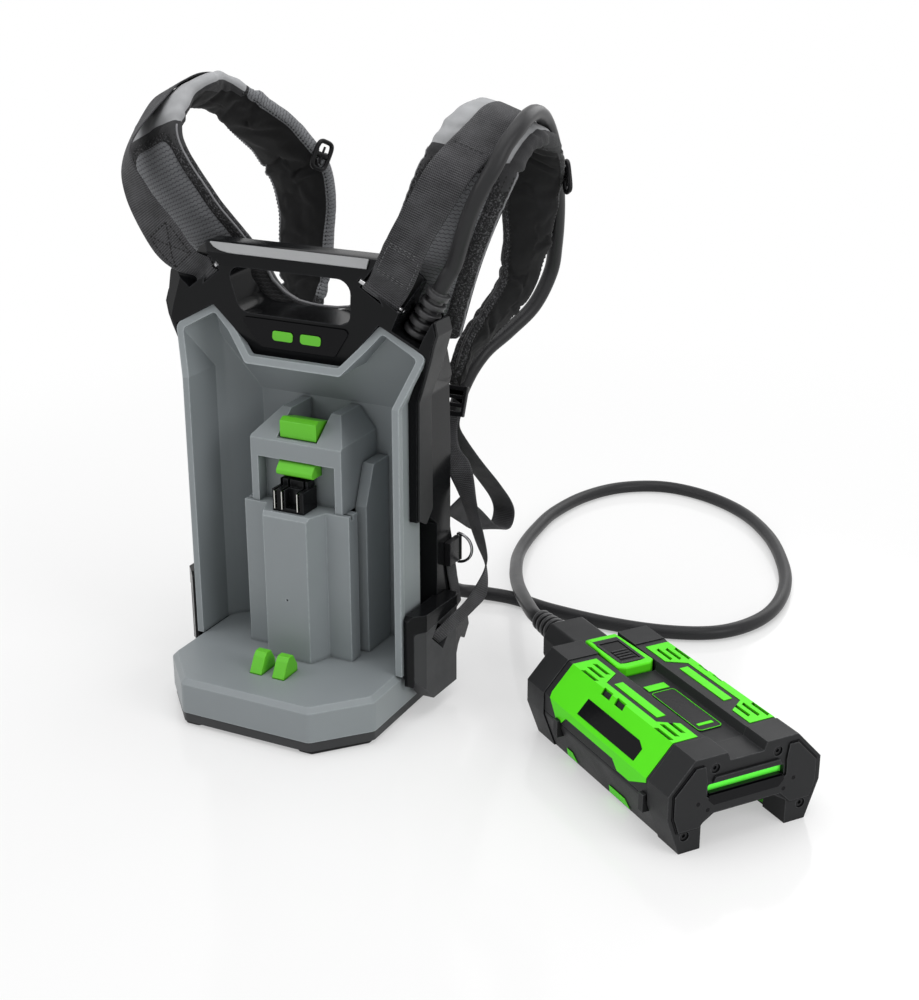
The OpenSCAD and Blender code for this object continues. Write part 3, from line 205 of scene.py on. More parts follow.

# Lighter edges: patchy wear plus a painted highlight along each rounded edge
edgeWearAndHighlight, entry, leave = startGroup("edgeWearAndHighlight", {"Radius": 0.001, "Amount": 0.5}, ("Mask",))
rounded = addNode(edgeWearAndHighlight, "ShaderNodeBevel", {"samples": 4})
join(edgeWearAndHighlight, entry["Radius"], rounded.inputs["Radius"])
apart = addNode(edgeWearAndHighlight, "ShaderNodeVectorMath", {"operation": "DOT_PRODUCT"})
join(edgeWearAndHighlight, rounded.outputs["Normal"], apart.inputs[0])
join(edgeWearAndHighlight, addNode(edgeWearAndHighlight, "ShaderNodeNewGeometry").outputs["Normal"], apart.inputs[1])
nearEdge = fadeNode(edgeWearAndHighlight, apart.outputs["Value"], 0.995, 0.9)
patchy = fadeNode(edgeWearAndHighlight, noiseNode(edgeWearAndHighlight, 220.0, 4.0, 0.7), 0.35, 0.65, 0.4, 1.0)
wornAndLitEdges = mathNode(edgeWearAndHighlight, "MULTIPLY", nearEdge, patchy)
join(edgeWearAndHighlight, mathNode(edgeWearAndHighlight, "MULTIPLY", wornAndLitEdges, entry["Amount"], clamp=True), leave["Mask"])

# Painted shade: dark lines where two surfaces meet closely
creaseShade, entry, leave = startGroup("creaseShade", {"Reach": 0.004, "Amount": 0.7}, ("Mask",))
closeness = addNode(creaseShade, "ShaderNodeAmbientOcclusion", {"samples": 8})
join(creaseShade, entry["Reach"], closeness.inputs["Distance"])
shut = fadeNode(creaseShade, closeness.outputs["AO"], 0.9, 0.4)
join(creaseShade, mathNode(creaseShade, "MULTIPLY", shut, entry["Amount"], clamp=True), leave["Mask"])

# Woven ribs that run across a strap, from its own measured coordinates
ribbedWeave, entry, leave = startGroup("ribbedWeave", {"Rib Pitch": 0.0016, "Yarn Pitch": 0.0011}, ("Height", "Tone"))
fullTurn = 6.2832
strapPlace = addNode(ribbedWeave, "ShaderNodeSeparateXYZ")
join(ribbedWeave, addNode(ribbedWeave, "ShaderNodeUVMap", {"uv_map": "strapMap"}).outputs["UV"], strapPlace.inputs[0])
turnU = mathNode(ribbedWeave, "DIVIDE", strapPlace.outputs["X"], entry["Yarn Pitch"])
turnV = mathNode(ribbedWeave, "DIVIDE", strapPlace.outputs["Y"], entry["Rib Pitch"])
slant = mathNode(ribbedWeave, "MULTIPLY", mathNode(ribbedWeave, "PINGPONG", turnU, 1.0), 0.45)
slanted = mathNode(ribbedWeave, "ADD", turnV, slant)
wave = mathNode(ribbedWeave, "SINE", mathNode(ribbedWeave, "MULTIPLY", slanted, fullTurn))
yarn = mathNode(ribbedWeave, "SINE", mathNode(ribbedWeave, "MULTIPLY", turnU, fullTurn))
relief = mathNode(ribbedWeave, "MULTIPLY_ADD", wave, 0.35, 0.5)
join(ribbedWeave, mathNode(ribbedWeave, "MULTIPLY_ADD", yarn, 0.12, relief), leave["Height"])
mottle, ribTone = noiseNode(ribbedWeave, 60.0, 3.0), mathNode(ribbedWeave, "MULTIPLY", relief, 0.5)
join(ribbedWeave, mathNode(ribbedWeave, "MULTIPLY_ADD", mottle, 0.5, ribTone), leave["Tone"])

# Hexagons of a knitted mesh, from two grids set between each other
hexMesh, entry, leave = startGroup("hexMesh", {"Cell": 0.0042}, ("Height", "Line"))
hexPlace = addNode(hexMesh, "ShaderNodeUVMap", {"uv_map": "strapMap"}).outputs["UV"]
halfTall = 0.8660254  # half the height of a grid that is one wide
sized = addNode(hexMesh, "ShaderNodeVectorMath", {"operation": "SCALE"})
join(hexMesh, hexPlace, sized.inputs[0])
join(hexMesh, mathNode(hexMesh, "DIVIDE", 1.0, entry["Cell"]), sized.inputs["Scale"])
reach = []
for offset in ((0.0, 0.0, 0.0), (0.5, halfTall, 0.0)):
    moved = addNode(hexMesh, "ShaderNodeVectorMath", {"operation": "ADD"})
    join(hexMesh, sized.outputs[0], moved.inputs[0])
    moved.inputs[1].default_value = offset
    wrapped = addNode(hexMesh, "ShaderNodeVectorMath", {"operation": "WRAP"})
    join(hexMesh, moved.outputs[0], wrapped.inputs[0])
    wrapped.inputs[1].default_value = (0.5, halfTall, 1.0)
    wrapped.inputs[2].default_value = (-0.5, -halfTall, -1.0)
    length = addNode(hexMesh, "ShaderNodeVectorMath", {"operation": "LENGTH"})
    join(hexMesh, wrapped.outputs[0], length.inputs[0])
    reach.append(length.outputs["Value"])
edge = mathNode(hexMesh, "ABSOLUTE", mathNode(hexMesh, "SUBTRACT", reach[0], reach[1]))
join(hexMesh, fadeNode(hexMesh, edge, 0.0, 0.3), leave["Height"])
join(hexMesh, fadeNode(hexMesh, edge, 0.24, 0.04), leave["Line"])

# Plain woven cloth with soft creases
clothGrain, entry, leave = startGroup("clothGrain", {"Scale": 1800.0}, ("Height", "Tone"))
join(clothGrain, mathNode(clothGrain, "MULTIPLY_ADD", noiseNode(clothGrain, entry["Scale"], 2.0, 0.5), 0.5,
                          mathNode(clothGrain, "MULTIPLY", noiseNode(clothGrain, 320.0, 3.0), 0.5)), leave["Height"])
join(clothGrain, noiseNode(clothGrain, 38.0, 4.0, 0.6), leave["Tone"])

# Speckled pile of a brushed binding
brushedPile, entry, leave = startGroup("brushedPile", {"Scale": 560.0}, ("Height", "Speck"))
pile = noiseNode(brushedPile, entry["Scale"], 4.0, 0.75)
join(brushedPile, pile, leave["Height"])
join(brushedPile, fadeNode(brushedPile, pile, 0.5, 0.62), leave["Speck"])


def startMaterial(name, **values):
    material = bpy.data.materials.new(name)
    material.use_nodes = True
    tree = material.node_tree
    tree.nodes.clear()
    shader = addNode(tree, "ShaderNodeBsdfPrincipled", **values)
    join(tree, shader.outputs[0], addNode(tree, "ShaderNodeOutputMaterial").inputs[0])
    return material, tree, shader


def bumpInto(tree, shader, height, strength, distance):
    bump = addNode(tree, "ShaderNodeBump", Strength=strength, Distance=distance)
    join(tree, height, bump.inputs["Height"])
    join(tree, bump.outputs[0], shader.inputs["Normal"])


def shade(colour, factor):
    return tuple(min(1.0, c * factor) for c in colour)


def toneMix(tree, mask, colour, low, high):
    return mixColours(tree, mask, shade(colour, low), shade(colour, high))


def setShine(shader, shine, sheen=0.0):
    shader.inputs["Specular IOR Level"].default_value = shine
    shader.inputs["Sheen Weight"].default_value = sheen


def mouldedPlastic(name, colour, rough, grain=0.25, grainScale=1500.0, wearAndHighlight=0.35, wearAndHighlightTone=1.5, glow=0.0,
                   radius=0.0012, paintedCreaseShade=0.6, reach=0.004, shine=0.5, spread=0.06):
    material, tree, shader = startMaterial(name, Roughness=rough, IOR=1.45)
    setShine(shader, shine)
    grained = useGroup(tree, mouldedGrain, Scale=grainScale)
    wornAndLitEdges = useGroup(tree, edgeWearAndHighlight, Radius=radius, Amount=wearAndHighlight)
    tone = toneMix(tree, grained["Tone"], colour, 1 - spread, 1 + spread)
    # Edge tone: patchy wear plus a painted highlight along the rounded edges
    tinted = mixColours(tree, wornAndLitEdges["Mask"], tone, shade(colour, wearAndHighlightTone))
    if paintedCreaseShade:
        # Painted shade darkens creases and the gaps between parts
        closed = useGroup(tree, creaseShade, Reach=reach, Amount=paintedCreaseShade)
        tinted = mixColours(tree, closed["Mask"], tinted, shade(colour, 0.12))
    join(tree, tinted, shader.inputs["Base Color"])
    patchy = fadeNode(tree, grained["Tone"], 0.3, 0.7, rough * 0.85, min(1.0, rough * 1.15))
    join(tree, patchy, shader.inputs["Roughness"])
    if grain:
        bumpInto(tree, shader, grained["Height"], grain, 0.00025)
    if glow:
        join(tree, tinted, shader.inputs["Emission Color"])
        shader.inputs["Emission Strength"].default_value = glow
    return material


def metalFinish(name, colour, rough):
    material, tree, shader = startMaterial(name, Metallic=1.0, Roughness=rough)
    grained = useGroup(tree, mouldedGrain, Scale=900.0)
    join(tree, toneMix(tree, grained["Tone"], colour, 0.85, 1.0), shader.inputs["Base Color"])
    join(tree, fadeNode(tree, grained["Height"], 0.3, 0.7, rough * 0.6, rough * 1.5), shader.inputs["Roughness"])
    bumpInto(tree, shader, grained["Height"], 0.08, 0.0001)
    return material


def rubberFinish(name, colour, rough, sheen=0.0, paintedCreaseShade=0.0, shine=0.3):
    material, tree, shader = startMaterial(name, Roughness=rough)
    setShine(shader, shine, sheen)
    grained = useGroup(tree, mouldedGrain, Scale=1400.0)
    tone = toneMix(tree, grained["Tone"], colour, 0.8, 1.25)
    if paintedCreaseShade:
        # Painted shade darkens creases and the gaps between ribs
        closed = useGroup(tree, creaseShade, Reach=0.005, Amount=paintedCreaseShade)
        tone = mixColours(tree, closed["Mask"], tone, shade(colour, 0.1))
    join(tree, tone, shader.inputs["Base Color"])
    join(tree, fadeNode(tree, grained["Tone"], 0.3, 0.7, rough * 0.85, rough * 1.1), shader.inputs["Roughness"])
    bumpInto(tree, shader, grained["Height"], 0.2, 0.0002)
    return material


def webbingFinish(name, colour, ribPitch=0.0016):
    material, tree, shader = startMaterial(name, Roughness=0.72)
    setShine(shader, 0.2, 0.05)
    woven = useGroup(tree, ribbedWeave, Rib_Pitch=ribPitch)
    join(tree, toneMix(tree, fadeNode(tree, woven["Tone"], 0.2, 0.8), colour, 0.3, 2.0), shader.inputs["Base Color"])
    bumpInto(tree, shader, woven["Height"], 0.8, 0.0007)
    return material


def meshFinish(name, colour, line):
    material, tree, shader = startMaterial(name, Roughness=0.85)
    shader.inputs["Sheen Weight"].default_value = 0.2
    knit = useGroup(tree, hexMesh)
    grained = useGroup(tree, clothGrain)
    tone = toneMix(tree, grained["Tone"], colour, 0.8, 1.2)
    join(tree, mixColours(tree, knit["Line"], tone, line), shader.inputs["Base Color"])
    height = mathNode(tree, "MULTIPLY_ADD", grained["Height"], 0.15, knit["Height"])
    bumpInto(tree, shader, height, 0.6, 0.0006)
    return material


def pileFinish(name, colour):
    material, tree, shader = startMaterial(name, Roughness=0.95)
    shader.inputs["Sheen Weight"].default_value = 0.3
    piled = useGroup(tree, brushedPile)
    join(tree, toneMix(tree, piled["Speck"], colour, 1.0, 4.0), shader.inputs["Base Color"])
    bumpInto(tree, shader, piled["Height"], 0.9, 0.0008)
    return material


# The wear tone lightens each edge with patchy wear and a painted highlight, strongest on the gloss black parts; the
# crease amount darkens gaps and ribs with painted shade.
finishes = {
    "shell_grey": mouldedPlastic("shellGrey", (0.255, 0.28, 0.292), 0.4, grain=0.15, wearAndHighlight=0.85, wearAndHighlightTone=1.75,
                                 radius=0.0024, paintedCreaseShade=0.5, reach=0.006, shine=0.4),
    "pan_dark": mouldedPlastic("panDark", (0.03, 0.031, 0.033), 0.55, grain=0.5, grainScale=1100.0, wearAndHighlight=0.5,
                               wearAndHighlightTone=2.5),
    "foot_rubber": rubberFinish("footRubber", (0.015, 0.015, 0.016), 0.8),
    "fastener_steel": metalFinish("fastenerSteel", (0.25, 0.25, 0.26), 0.35),
    "frame_black": mouldedPlastic("frameBlack", (0.0075, 0.0078, 0.0085), 0.2, grain=0.03, wearAndHighlight=0.6, wearAndHighlightTone=7.0,
                                  radius=0.0016, shine=0.12),
    "cover_black": mouldedPlastic("coverBlack", (0.026, 0.0265, 0.0275), 0.42, grain=0.3, grainScale=1200.0, wearAndHighlight=0.6,
                                  wearAndHighlightTone=3.5, shine=0.13),
    # Light grey of the handle strip: a painted reflection on gloss black
    "grip_silver": mouldedPlastic("paintedReflectionGrey", (0.3, 0.305, 0.31), 0.35, grain=0.2, wearAndHighlight=0.2),
    "plate_black": mouldedPlastic("plateBlack", (0.004, 0.004, 0.005), 0.12, grain=0.0, wearAndHighlight=0.1, shine=0.12),
    "lime": mouldedPlastic("limePlastic", (0.13, 0.56, 0.025), 0.38, grain=0.12, wearAndHighlightTone=1.4, shine=0.4),
    "spring_steel": metalFinish("springSteel", (0.5, 0.5, 0.52), 0.25),
    "contact_brass": metalFinish("contactMetal", (0.7, 0.69, 0.66), 0.2),
    "buckle_black": mouldedPlastic("buckleBlack", (0.01, 0.01, 0.011), 0.25, grain=0.1, wearAndHighlight=0.5, wearAndHighlightTone=6.0,
                                   shine=0.2),
    "ring_chrome": metalFinish("ringChrome", (0.34, 0.34, 0.35), 0.12),
    "bar_steel": metalFinish("barSteel", (0.55, 0.55, 0.56), 0.22),
    "cable_rubber": rubberFinish("cableRubber", (0.028, 0.028, 0.0295), 0.38, paintedCreaseShade=0.9, shine=0.16),
    "relief_rubber": rubberFinish("reliefRubber", (0.042, 0.042, 0.044), 0.34, paintedCreaseShade=1.0, shine=0.35),
    "lead_sleeve": rubberFinish("leadSleeve", (0.3, 0.03, 0.02), 0.5),
    "adapter_grey": mouldedPlastic("adapterGrey", (0.024, 0.0245, 0.0255), 0.44, grain=0.45, grainScale=1000.0,
                                   wearAndHighlight=0.75, wearAndHighlightTone=4.5, radius=0.0015, paintedCreaseShade=0.9, reach=0.003, shine=0.13),
    "adapter_black": mouldedPlastic("adapterBlack", (0.006, 0.006, 0.007), 0.25, grain=0.1, wearAndHighlight=0.3, wearAndHighlightTone=4.0,
                                    shine=0.12),
    "light_green": mouldedPlastic("lightGreen", (0.12, 0.95, 0.06), 0.3, grain=0.0, wearAndHighlight=0.0, glow=0.55),
    "board_green": mouldedPlastic("boardGreen", (0.01, 0.1, 0.03), 0.4),
    "webbing": webbingFinish("strapWebbing", (0.045, 0.045, 0.048), 0.0021),
    "back_cloth": meshFinish("backMesh", (0.014, 0.014, 0.015), (0.045, 0.045, 0.048)),
}
panelLime = mouldedPlastic("panelLime", (0.11, 0.83, 0.015), 0.4, grain=0.12, wearAndHighlight=0.4, wearAndHighlightTone=1.3, paintedCreaseShade=0.85,
                           reach=0.003, shine=0.13)
bindingPile = pileFinish("bindingPile", (0.014, 0.014, 0.015))
pipingCloth = rubberFinish("pipingCloth", (0.2, 0.2, 0.21), 0.7, sheen=0.2)
threadDark = rubberFinish("threadDark", (0.008, 0.008, 0.008), 0.7)
threadPale = rubberFinish("threadPale", (0.11, 0.11, 0.115), 0.7)
print("finishes made:", len(finishes))

slotOf = {row["node"]: row["material_slot"] for row in frame["record"]["subparts"]}
bodyOf = {n: b for b, members in frame["record"]["behaviour"]["bodies"].items() for n in members}


def paint(node, finish):
    if not node.material_slots:
        node.data.materials.append(None)
    for place in node.material_slots:
        place.material = finish


for name, slot in slotOf.items():
    if slot in finishes:
        paint(nodes[name], finishes[slot])


# Piece building
def addStrapMap(mesh, uv):
    layer = mesh.uv_layers.new(name="strapMap")
    index = np.empty(len(mesh.loops), np.int64)
    mesh.loops.foreach_get("vertex_index", index)
    layer.data.foreach_set("uv", np.asarray(uv, float)[index].astype(np.float32).ravel())


def addPiece(name, verts, faces, finish, body="carrier", uv=None, zones=None):
    mesh = bpy.data.meshes.new(name)
    mesh.from_pydata([tuple(map(float, v)) for v in verts], [], faces)
    mesh.validate()
    if uv is not None:
        addStrapMap(mesh, uv)
    if zones is not None:
        layer = mesh.attributes.new("zones", "FLOAT_VECTOR", "POINT")
        layer.data.foreach_set("vector", np.asarray(zones, np.float32).ravel())
    mesh.shade_smooth()
    piece = addObject(name, mesh)
    mesh.materials.append(finish)
    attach(piece, body)
    return piece


def reworkMesh(mesh, change):
    work = bmesh.new()
    work.from_mesh(mesh)
    change(work)
    work.to_mesh(mesh)
    work.free()


def fixNormals(piece):
    reworkMesh(piece.data, lambda work: bmesh.ops.recalc_face_normals(work, faces=work.faces))


def bevelEdges(piece, width, segments, angle):
    rounded = piece.modifiers.new("roundedEdges", "BEVEL")
    rounded.width = width
    rounded.segments = segments
    rounded.angle_limit = math.radians(angle)
    return rounded


def evenNormals(piece):
    even = piece.modifiers.new("evenNormals", "WEIGHTED_NORMAL")
    even.keep_sharp = True
    return even


def ringFaces(rows, columns, closed=True, capped=True):
    faces = []
    span = columns if closed else columns - 1
    for i in range(rows - 1):
        for j in range(span):
            k = (j + 1) % columns
            faces.append((i * columns + j, i * columns + k, (i + 1) * columns + k, (i + 1) * columns + j))
    if capped:
        faces.append(tuple(range(columns - 1, -1, -1)))
        faces.append(tuple((rows - 1) * columns + j for j in range(columns)))
    return faces


def addTube(name, line, radius, finish, body="carrier", sides=12, closed=False, flat=1.0):
    line = np.asarray(line, float)
    t = tangents(line)
    if closed:
        t = eachUnit(np.roll(line, -1, axis=0) - np.roll(line, 1, axis=0))
    side = unit(np.cross(t[0], [0.31, 0.22, 0.93]))
    rings = []
    for i in range(len(line)):
        side = unit(side - np.dot(side, t[i]) * t[i])
        other = np.cross(t[i], side)
        angle = np.linspace(0, 2 * math.pi, sides, endpoint=False)
        rings.append(line[i] + radius * (np.cos(angle)[:, None] * side * flat + np.sin(angle)[:, None] * other))
    verts = np.concatenate(rings)
    faces = ringFaces(len(line), sides, capped=not closed)
    if closed:
        last = (len(line) - 1) * sides
        faces += [(last + j, last + (j + 1) % sides, (j + 1) % sides, j) for j in range(sides)]
    piece = addPiece(name, verts, faces, finish, body)
    fixNormals(piece)
    return piece


# A moulded piece: the node's own form with its edges rounded
def addMoulding(node, edge, finish, body, split, convex, segments=3, angle=24.0):
    slot = slotOf[node]
    mesh = nodes[node].data.copy()
    mesh.name = node + "Moulded"
    piece = addObject(node + "Moulded", mesh)

    def prepare(work):
        bmesh.ops.remove_doubles(work, verts=work.verts, dist=3e-6)
        bmesh.ops.dissolve_limit(work, angle_limit=math.radians(0.6), verts=work.verts, edges=work.edges)
        if split:
            bmesh.ops.connect_verts_concave(work, faces=work.faces)
        if convex:
            weight = work.edges.layers.float.new("bevel_weight_edge")
            for line in work.edges:
                line[weight] = float(line.is_manifold and line.calc_face_angle_signed(0.0) > math.radians(angle))

    reworkMesh(mesh, prepare)
    mesh.materials.clear()
    mesh.materials.append(finish or finishes[slot])
    mesh.shade_smooth()
    rounded = bevelEdges(piece, edge * mm, segments, angle)
    rounded.limit_method = "WEIGHT" if convex else "ANGLE"
    rounded.miter_outer = "MITER_ARC"
    evenNormals(piece).weight = 90
    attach(piece, body)
    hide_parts(node)
    return piece


# Power cable
cable = {
    "diameter": 0.015,
    "gland": (114, 40, 376), "glandLean": 28, "glandBack": 4, "glandLength": 50,
    "route": [(168, 37, 487), (181, 35, 514), (191, 41, 534), (196, 52, 551), (200, 68, 563),
              (199, 90, 570), (195, 118, 570.5), (189, 151, 561), (185, 177, 541), (178, 203, 518), (171, 227, 487),
              (165, 244, 455), (158, 257, 423), (150, 265, 391), (138, 252, 358), (122, 226, 336), (108, 196, 318),
              (96, 176, 288), (84, 168, 240), (68, 176, 170), (50, 204, 98), (38, 242, 42), (40, 274, 16),
              (62, 292, 9), (100, 296, 8), (150, 286, 7.9), (220, 282, 7.9), (282, 290, 7.9), (330, 312, 7.9),
              (358, 352, 7.9), (368, 404, 7.9), (360, 470, 7.9), (336, 536, 7.9), (300, 602, 7.9), (250, 660, 7.9),
              (190, 696, 7.9), (130, 704, 7.9), (80, 676, 7.9), (50, 624, 7.9), (37, 556, 7.9), (39, 497, 8),
              (47, 444, 10), (62, 391, 16), (86, 332, 26), (108, 286, 35), (131, 244, 44), (155, 205, 52)],
    "adapterAt": (380, 21, 0), "adapterTurn": -37, "neckEnd": -187, "reliefLength": 52, "neckHeight": 56, "leadEnd": 0,
}
lean, back = math.radians(cable["glandLean"]), math.radians(cable["glandBack"])
glandAim = np.array([math.cos(back) * math.sin(lean), math.sin(back), math.cos(back) * math.cos(lean)])
glandEnd = np.array(cable["gland"], float) + cable["glandLength"] * glandAim
adapterTurn = math.radians(cable["adapterTurn"])
adapterAim = np.array([math.cos(adapterTurn), math.sin(adapterTurn), 0.0])
adapterAcross = np.array([-math.sin(adapterTurn), math.cos(adapterTurn), 0.0])


def onAdapter(u, v, z):
    return np.array(cable["adapterAt"], float) + u * adapterAim + v * adapterAcross + np.array([0, 0, z])


reliefEnd = onAdapter(cable["neckEnd"] - cable["reliefLength"], 0, cable["neckHeight"])
cablePoints = ([glandEnd + i * 15 * glandAim for i in range(3)] + [np.array(p, float) for p in cable["route"]]
               + [reliefEnd - i * 14 * adapterAim for i in (1, 0)])
leadIn = [onAdapter(u, 0, cable["neckHeight"])
          for u in np.linspace(cable["neckEnd"] - cable["reliefLength"], cable["leadEnd"], 20)]
cableLine = placed(np.concatenate([smoothLine(cablePoints, 420), leadIn[1:]]))
cableCurve = bpy.data.curves.new("powerCable", "CURVE")
cableCurve.dimensions = "3D"
cableCurve.bevel_depth = cable["diameter"] / 2
cableCurve.bevel_resolution = 6
cableCurve.use_fill_caps = True
run = cableCurve.splines.new("POLY")
run.points.add(len(cableLine) - 1)
for point, place in zip(run.points, cableLine):
    point.co = (*place, 1.0)
powerCable = addObject("powerCable", cableCurve)
cableCurve.materials.append(finishes["cable_rubber"])
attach(powerCable, "carrier")
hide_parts("power_cable")
print("cable laid, metres:", round(lineLength(cableLine), 3))


# Strain relief: a tapered core with rounded ribs, turned about its own line
relief = {
    "gland": {"ribStart": 13.8, "ribEnd": 11.0, "ribs": 5}, "adapter": {"ribStart": 14.2, "ribEnd": 10.2, "ribs": 6},
    "core": 7.9, "taper": 1.2, "ribSpan": (0.34, 0.86), "softEdge": 0.3, "sides": 48,
}


def addRelief(name, node, start, aim, length, ribStart, ribEnd, ribs):
    start, aim = np.asarray(start, float), unit(np.asarray(aim, float))
    core, taper, sides = relief["core"], relief["taper"], relief["sides"]
    profile = [(core + taper, 0.0)]
    for i in range(ribs):
        r = ribStart + (ribEnd - ribStart) * i / ribs
        inner = core + taper - taper * i / ribs
        low, high = (length / ribs * (i + share) for share in relief["ribSpan"])
        profile += [(inner, low - 0.4), (r - 0.8, low), (r - 0.25, low + 0.25), (r, low + 0.8), (r, high - 0.8),
                    (r - 0.25, high - 0.25), (r - 0.8, high), (inner, high + 0.4)]
    profile.append((core, length))
    side = unit(np.cross(aim, [0.2, 0.9, 0.1]))
    other = np.cross(aim, side)
    angle = np.linspace(0, 2 * math.pi, sides, endpoint=False)
    around = np.cos(angle)[:, None] * side + np.sin(angle)[:, None] * other
    verts = placed(np.concatenate([start + aim * h + r * around for r, h in profile]))
    piece = addPiece(name, verts, ringFaces(len(profile), sides), finishes["relief_rubber"])
    fixNormals(piece)
    bevelEdges(piece, relief["softEdge"] * mm, 2, 35)
    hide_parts(node)
    return piece


addRelief("glandRibs", "cable_gland", cable["gland"], glandAim, cable["glandLength"], **relief["gland"])
adapterNeck = onAdapter(cable["neckEnd"], 0, cable["neckHeight"])
adapterRelief = addRelief("adapterReliefRibs", "adapter_strain_relief", adapterNeck, -adapterAim, cable["reliefLength"],
                          **relief["adapter"])


# Mouldings
mouldings = {
    "base_housing": 2.6, "base_pan": 1.2, "rubber_feet": 0.8, "front_shell": 1.7, "rear_frame": 2.4, "side_covers": 1.4,
    "name_plate": 0.5, "name_marks": 0.3, "dock_column": 1.4, "dock_head": 1.7, "guide_rails": 1.4,
    "terminal_block": 0.5, "terminal_blades": 0.25, "release_button": 1.2, "battery_latch": 1.0, "ejector_left": 1.2,
    "ejector_right": 1.2, "ladder_locks": 1.0, "d_ring_tabs": 0.8, "strap_pod_left": 4.2,
    "strap_pod_right": 4.2, "pod_caps": 4.2, "pod_hooks": 3.0, "adapter_top_shell": 1.2, "adapter_bottom_shell": 1.4,
    "adapter_near_cap": 1.9, "adapter_far_cap": 2.2, "adapter_side_panels": 0.7, "adapter_button": 0.4,
    "adapter_button_frame": 2.2, "adapter_bars": 0.4, "adapter_badge": 0.4,
}
splitFaces = ("adapter_side_panels", "adapter_top_shell", "adapter_near_cap", "adapter_button")
limeNodes = ("adapter_side_panels", "adapter_button_frame", "adapter_bars")
adapterPieces = [powerCable, adapterRelief]
for node, edge in mouldings.items():
    piece = addMoulding(node, edge, panelLime if node in limeNodes else None, bodyOf[node], split=node in splitFaces,
                        convex=node == "adapter_button_frame")
    if node.startswith("adapter_"):
        adapterPieces.append(piece)
print("mouldings rounded:", len(mouldings))


# Adapter trim: thin plates, gathered by finish
def addPlates(name, plates, finish, bevel=0.3, body="carrier"):
    verts, faces = [], []
    for outline, place, thick in plates:
        count, first = len(outline), len(verts)
        verts += [place(a, b, h) for h in (0.0, thick) for a, b in outline]
        faces += [tuple(first + i for i in range(count - 1, -1, -1)), tuple(first + i for i in range(count, 2 * count))]
        for i in range(count):
            k = (i + 1) % count
            faces.append((first + i, first + k, first + count + k, first + count + i))
    piece = addPiece(name, placed(verts), faces, finish, body)
    fixNormals(piece)
    bevelEdges(piece, bevel * mm, 2, 24)
    evenNormals(piece)
    return piece


def rectangle(a0, b0, a1, b1):
    return [(a0, b0), (a1, b0), (a1, b1), (a0, b1)]


def mirrored(half):
    return half + [(-a, b) for a, b in reversed(half)]


adapterTrim = {
    "slopeTop": (52, 85), "slopeFoot": (77, 58), "end": 115, "top": 85, "side": 77,
    "label": [(-39, 15.5), (46, 15.5), (55, 20), (55, 32.5), (-39, 32.5)],
    "lugs": [(-67, 35), (78, 35)], "lugHalf": (3.6, 8.5), "lugSunk": 4, "slot": (-37.5, 47, 37.5, 52),
    # gap: how far the black plate of painted gap shade reaches beyond the end face
    "pinHoles": [(-49, 45), (-39, 37), (39, 37), (49, 45)], "pinRadius": 2.0, "gap": (1.5, 1.3),
    "runners": [(-68, 18), (6, 34)], "runnerHeights": (3, 13), "runnerCut": 4, "runnerWall": (64.2, 0.361),
    "lining": (50, 3, 112, 21), "liningAt": 45.0, "thumbRibs": [-92, -87, -82, -77], "thumbRib": (2.4, 8),
    "face": [(36, 33), (47, 22), (67.5, 22), (72.5, 37), (72.5, 57), (52, 79), (43, 79), (40.5, 64), (41, 60), (41, 50),
             (35, 46)],
    "buttonCover": [(-116, -13.4, -109, 13.4), (-69, -13.4, -65.5, 13.4), (-110, -13.4, -68, -10.6),
                    (-110, 10.6, -68, 13.4)],
    "topLine": (50, -8, 54, 8), "badge": (-12, 58, 8.6, 3.4, 78.1),
    "surround": [(38.5, 50.5), (38.5, 46), (33, 40.5)], "brow": [(35, 62), (33, 67)],
}
slopeTop, slopeFoot = np.array(adapterTrim["slopeTop"], float), np.array(adapterTrim["slopeFoot"], float)
slopeAim = unit(slopeFoot - slopeTop)
slopeOut = np.array([-slopeAim[1], slopeAim[0]])


def onSlope(u, s, h):
    v, z = slopeTop + slopeAim * s + slopeOut * (0.5 + h)
    return onAdapter(u, -v, z)


def onEnd(lift):
    return lambda a, b, h: onAdapter(adapterTrim["end"] + lift + h, a, b)


def onTop(lift):
    return lambda a, b, h: onAdapter(a, b, adapterTrim["top"] + lift + h)


def onSide(side, out, grow=1):
    return lambda a, b, h: onAdapter(a, side * (out + grow * h), b)


def onRunnerWall(a, b, h):
    foot, lean = adapterTrim["runnerWall"]
    return onAdapter(a, -(foot + b * lean + h), b)


endFace = mirrored(adapterTrim["face"])
faceCentre = np.mean(endFace, axis=0)
# A black plate a little larger than the end face: a painted shade line in the gap around it
faceGapShade = [tuple(np.array(p) + np.sign(np.array(p) - faceCentre) * adapterTrim["gap"]) for p in endFace]
roundHole = [(math.cos(k * math.pi / 9), math.sin(k * math.pi / 9)) for k in range(18)]
blackPlates = [(adapterTrim["label"], onSlope, 0.5), (faceGapShade, onEnd(0.3), 0.35),
               (rectangle(*adapterTrim["slot"]), onEnd(-4), 4.4), (mirrored(adapterTrim["surround"]), onEnd(1.6), 0.5)]
for v, z in adapterTrim["pinHoles"]:
    r = adapterTrim["pinRadius"]
    blackPlates.append(([(v + r * a, z + r * b) for a, b in roundHole], onEnd(1.4), 0.5))
greyPlates = [(endFace, onEnd(0.5), 1.3), (mirrored(adapterTrim["brow"]), onEnd(-0.4), 3.0)]
lugWide, lugTall = adapterTrim["lugHalf"]
for u, z in adapterTrim["lugs"]:
    for side in (-1, 1):
        greyPlates.append((rectangle(u - lugWide, z - lugTall, u + lugWide, z + lugTall),
                           onSide(side, adapterTrim["side"] - adapterTrim["lugSunk"]), 8.0))
greyPlates += [(rectangle(*area), onTop(0.95), 0.35) for area in adapterTrim["buttonCover"]]
limePlates = [(rectangle(*adapterTrim["topLine"]), onTop(-7.1), 0.5)]
foot, top = adapterTrim["runnerHeights"]
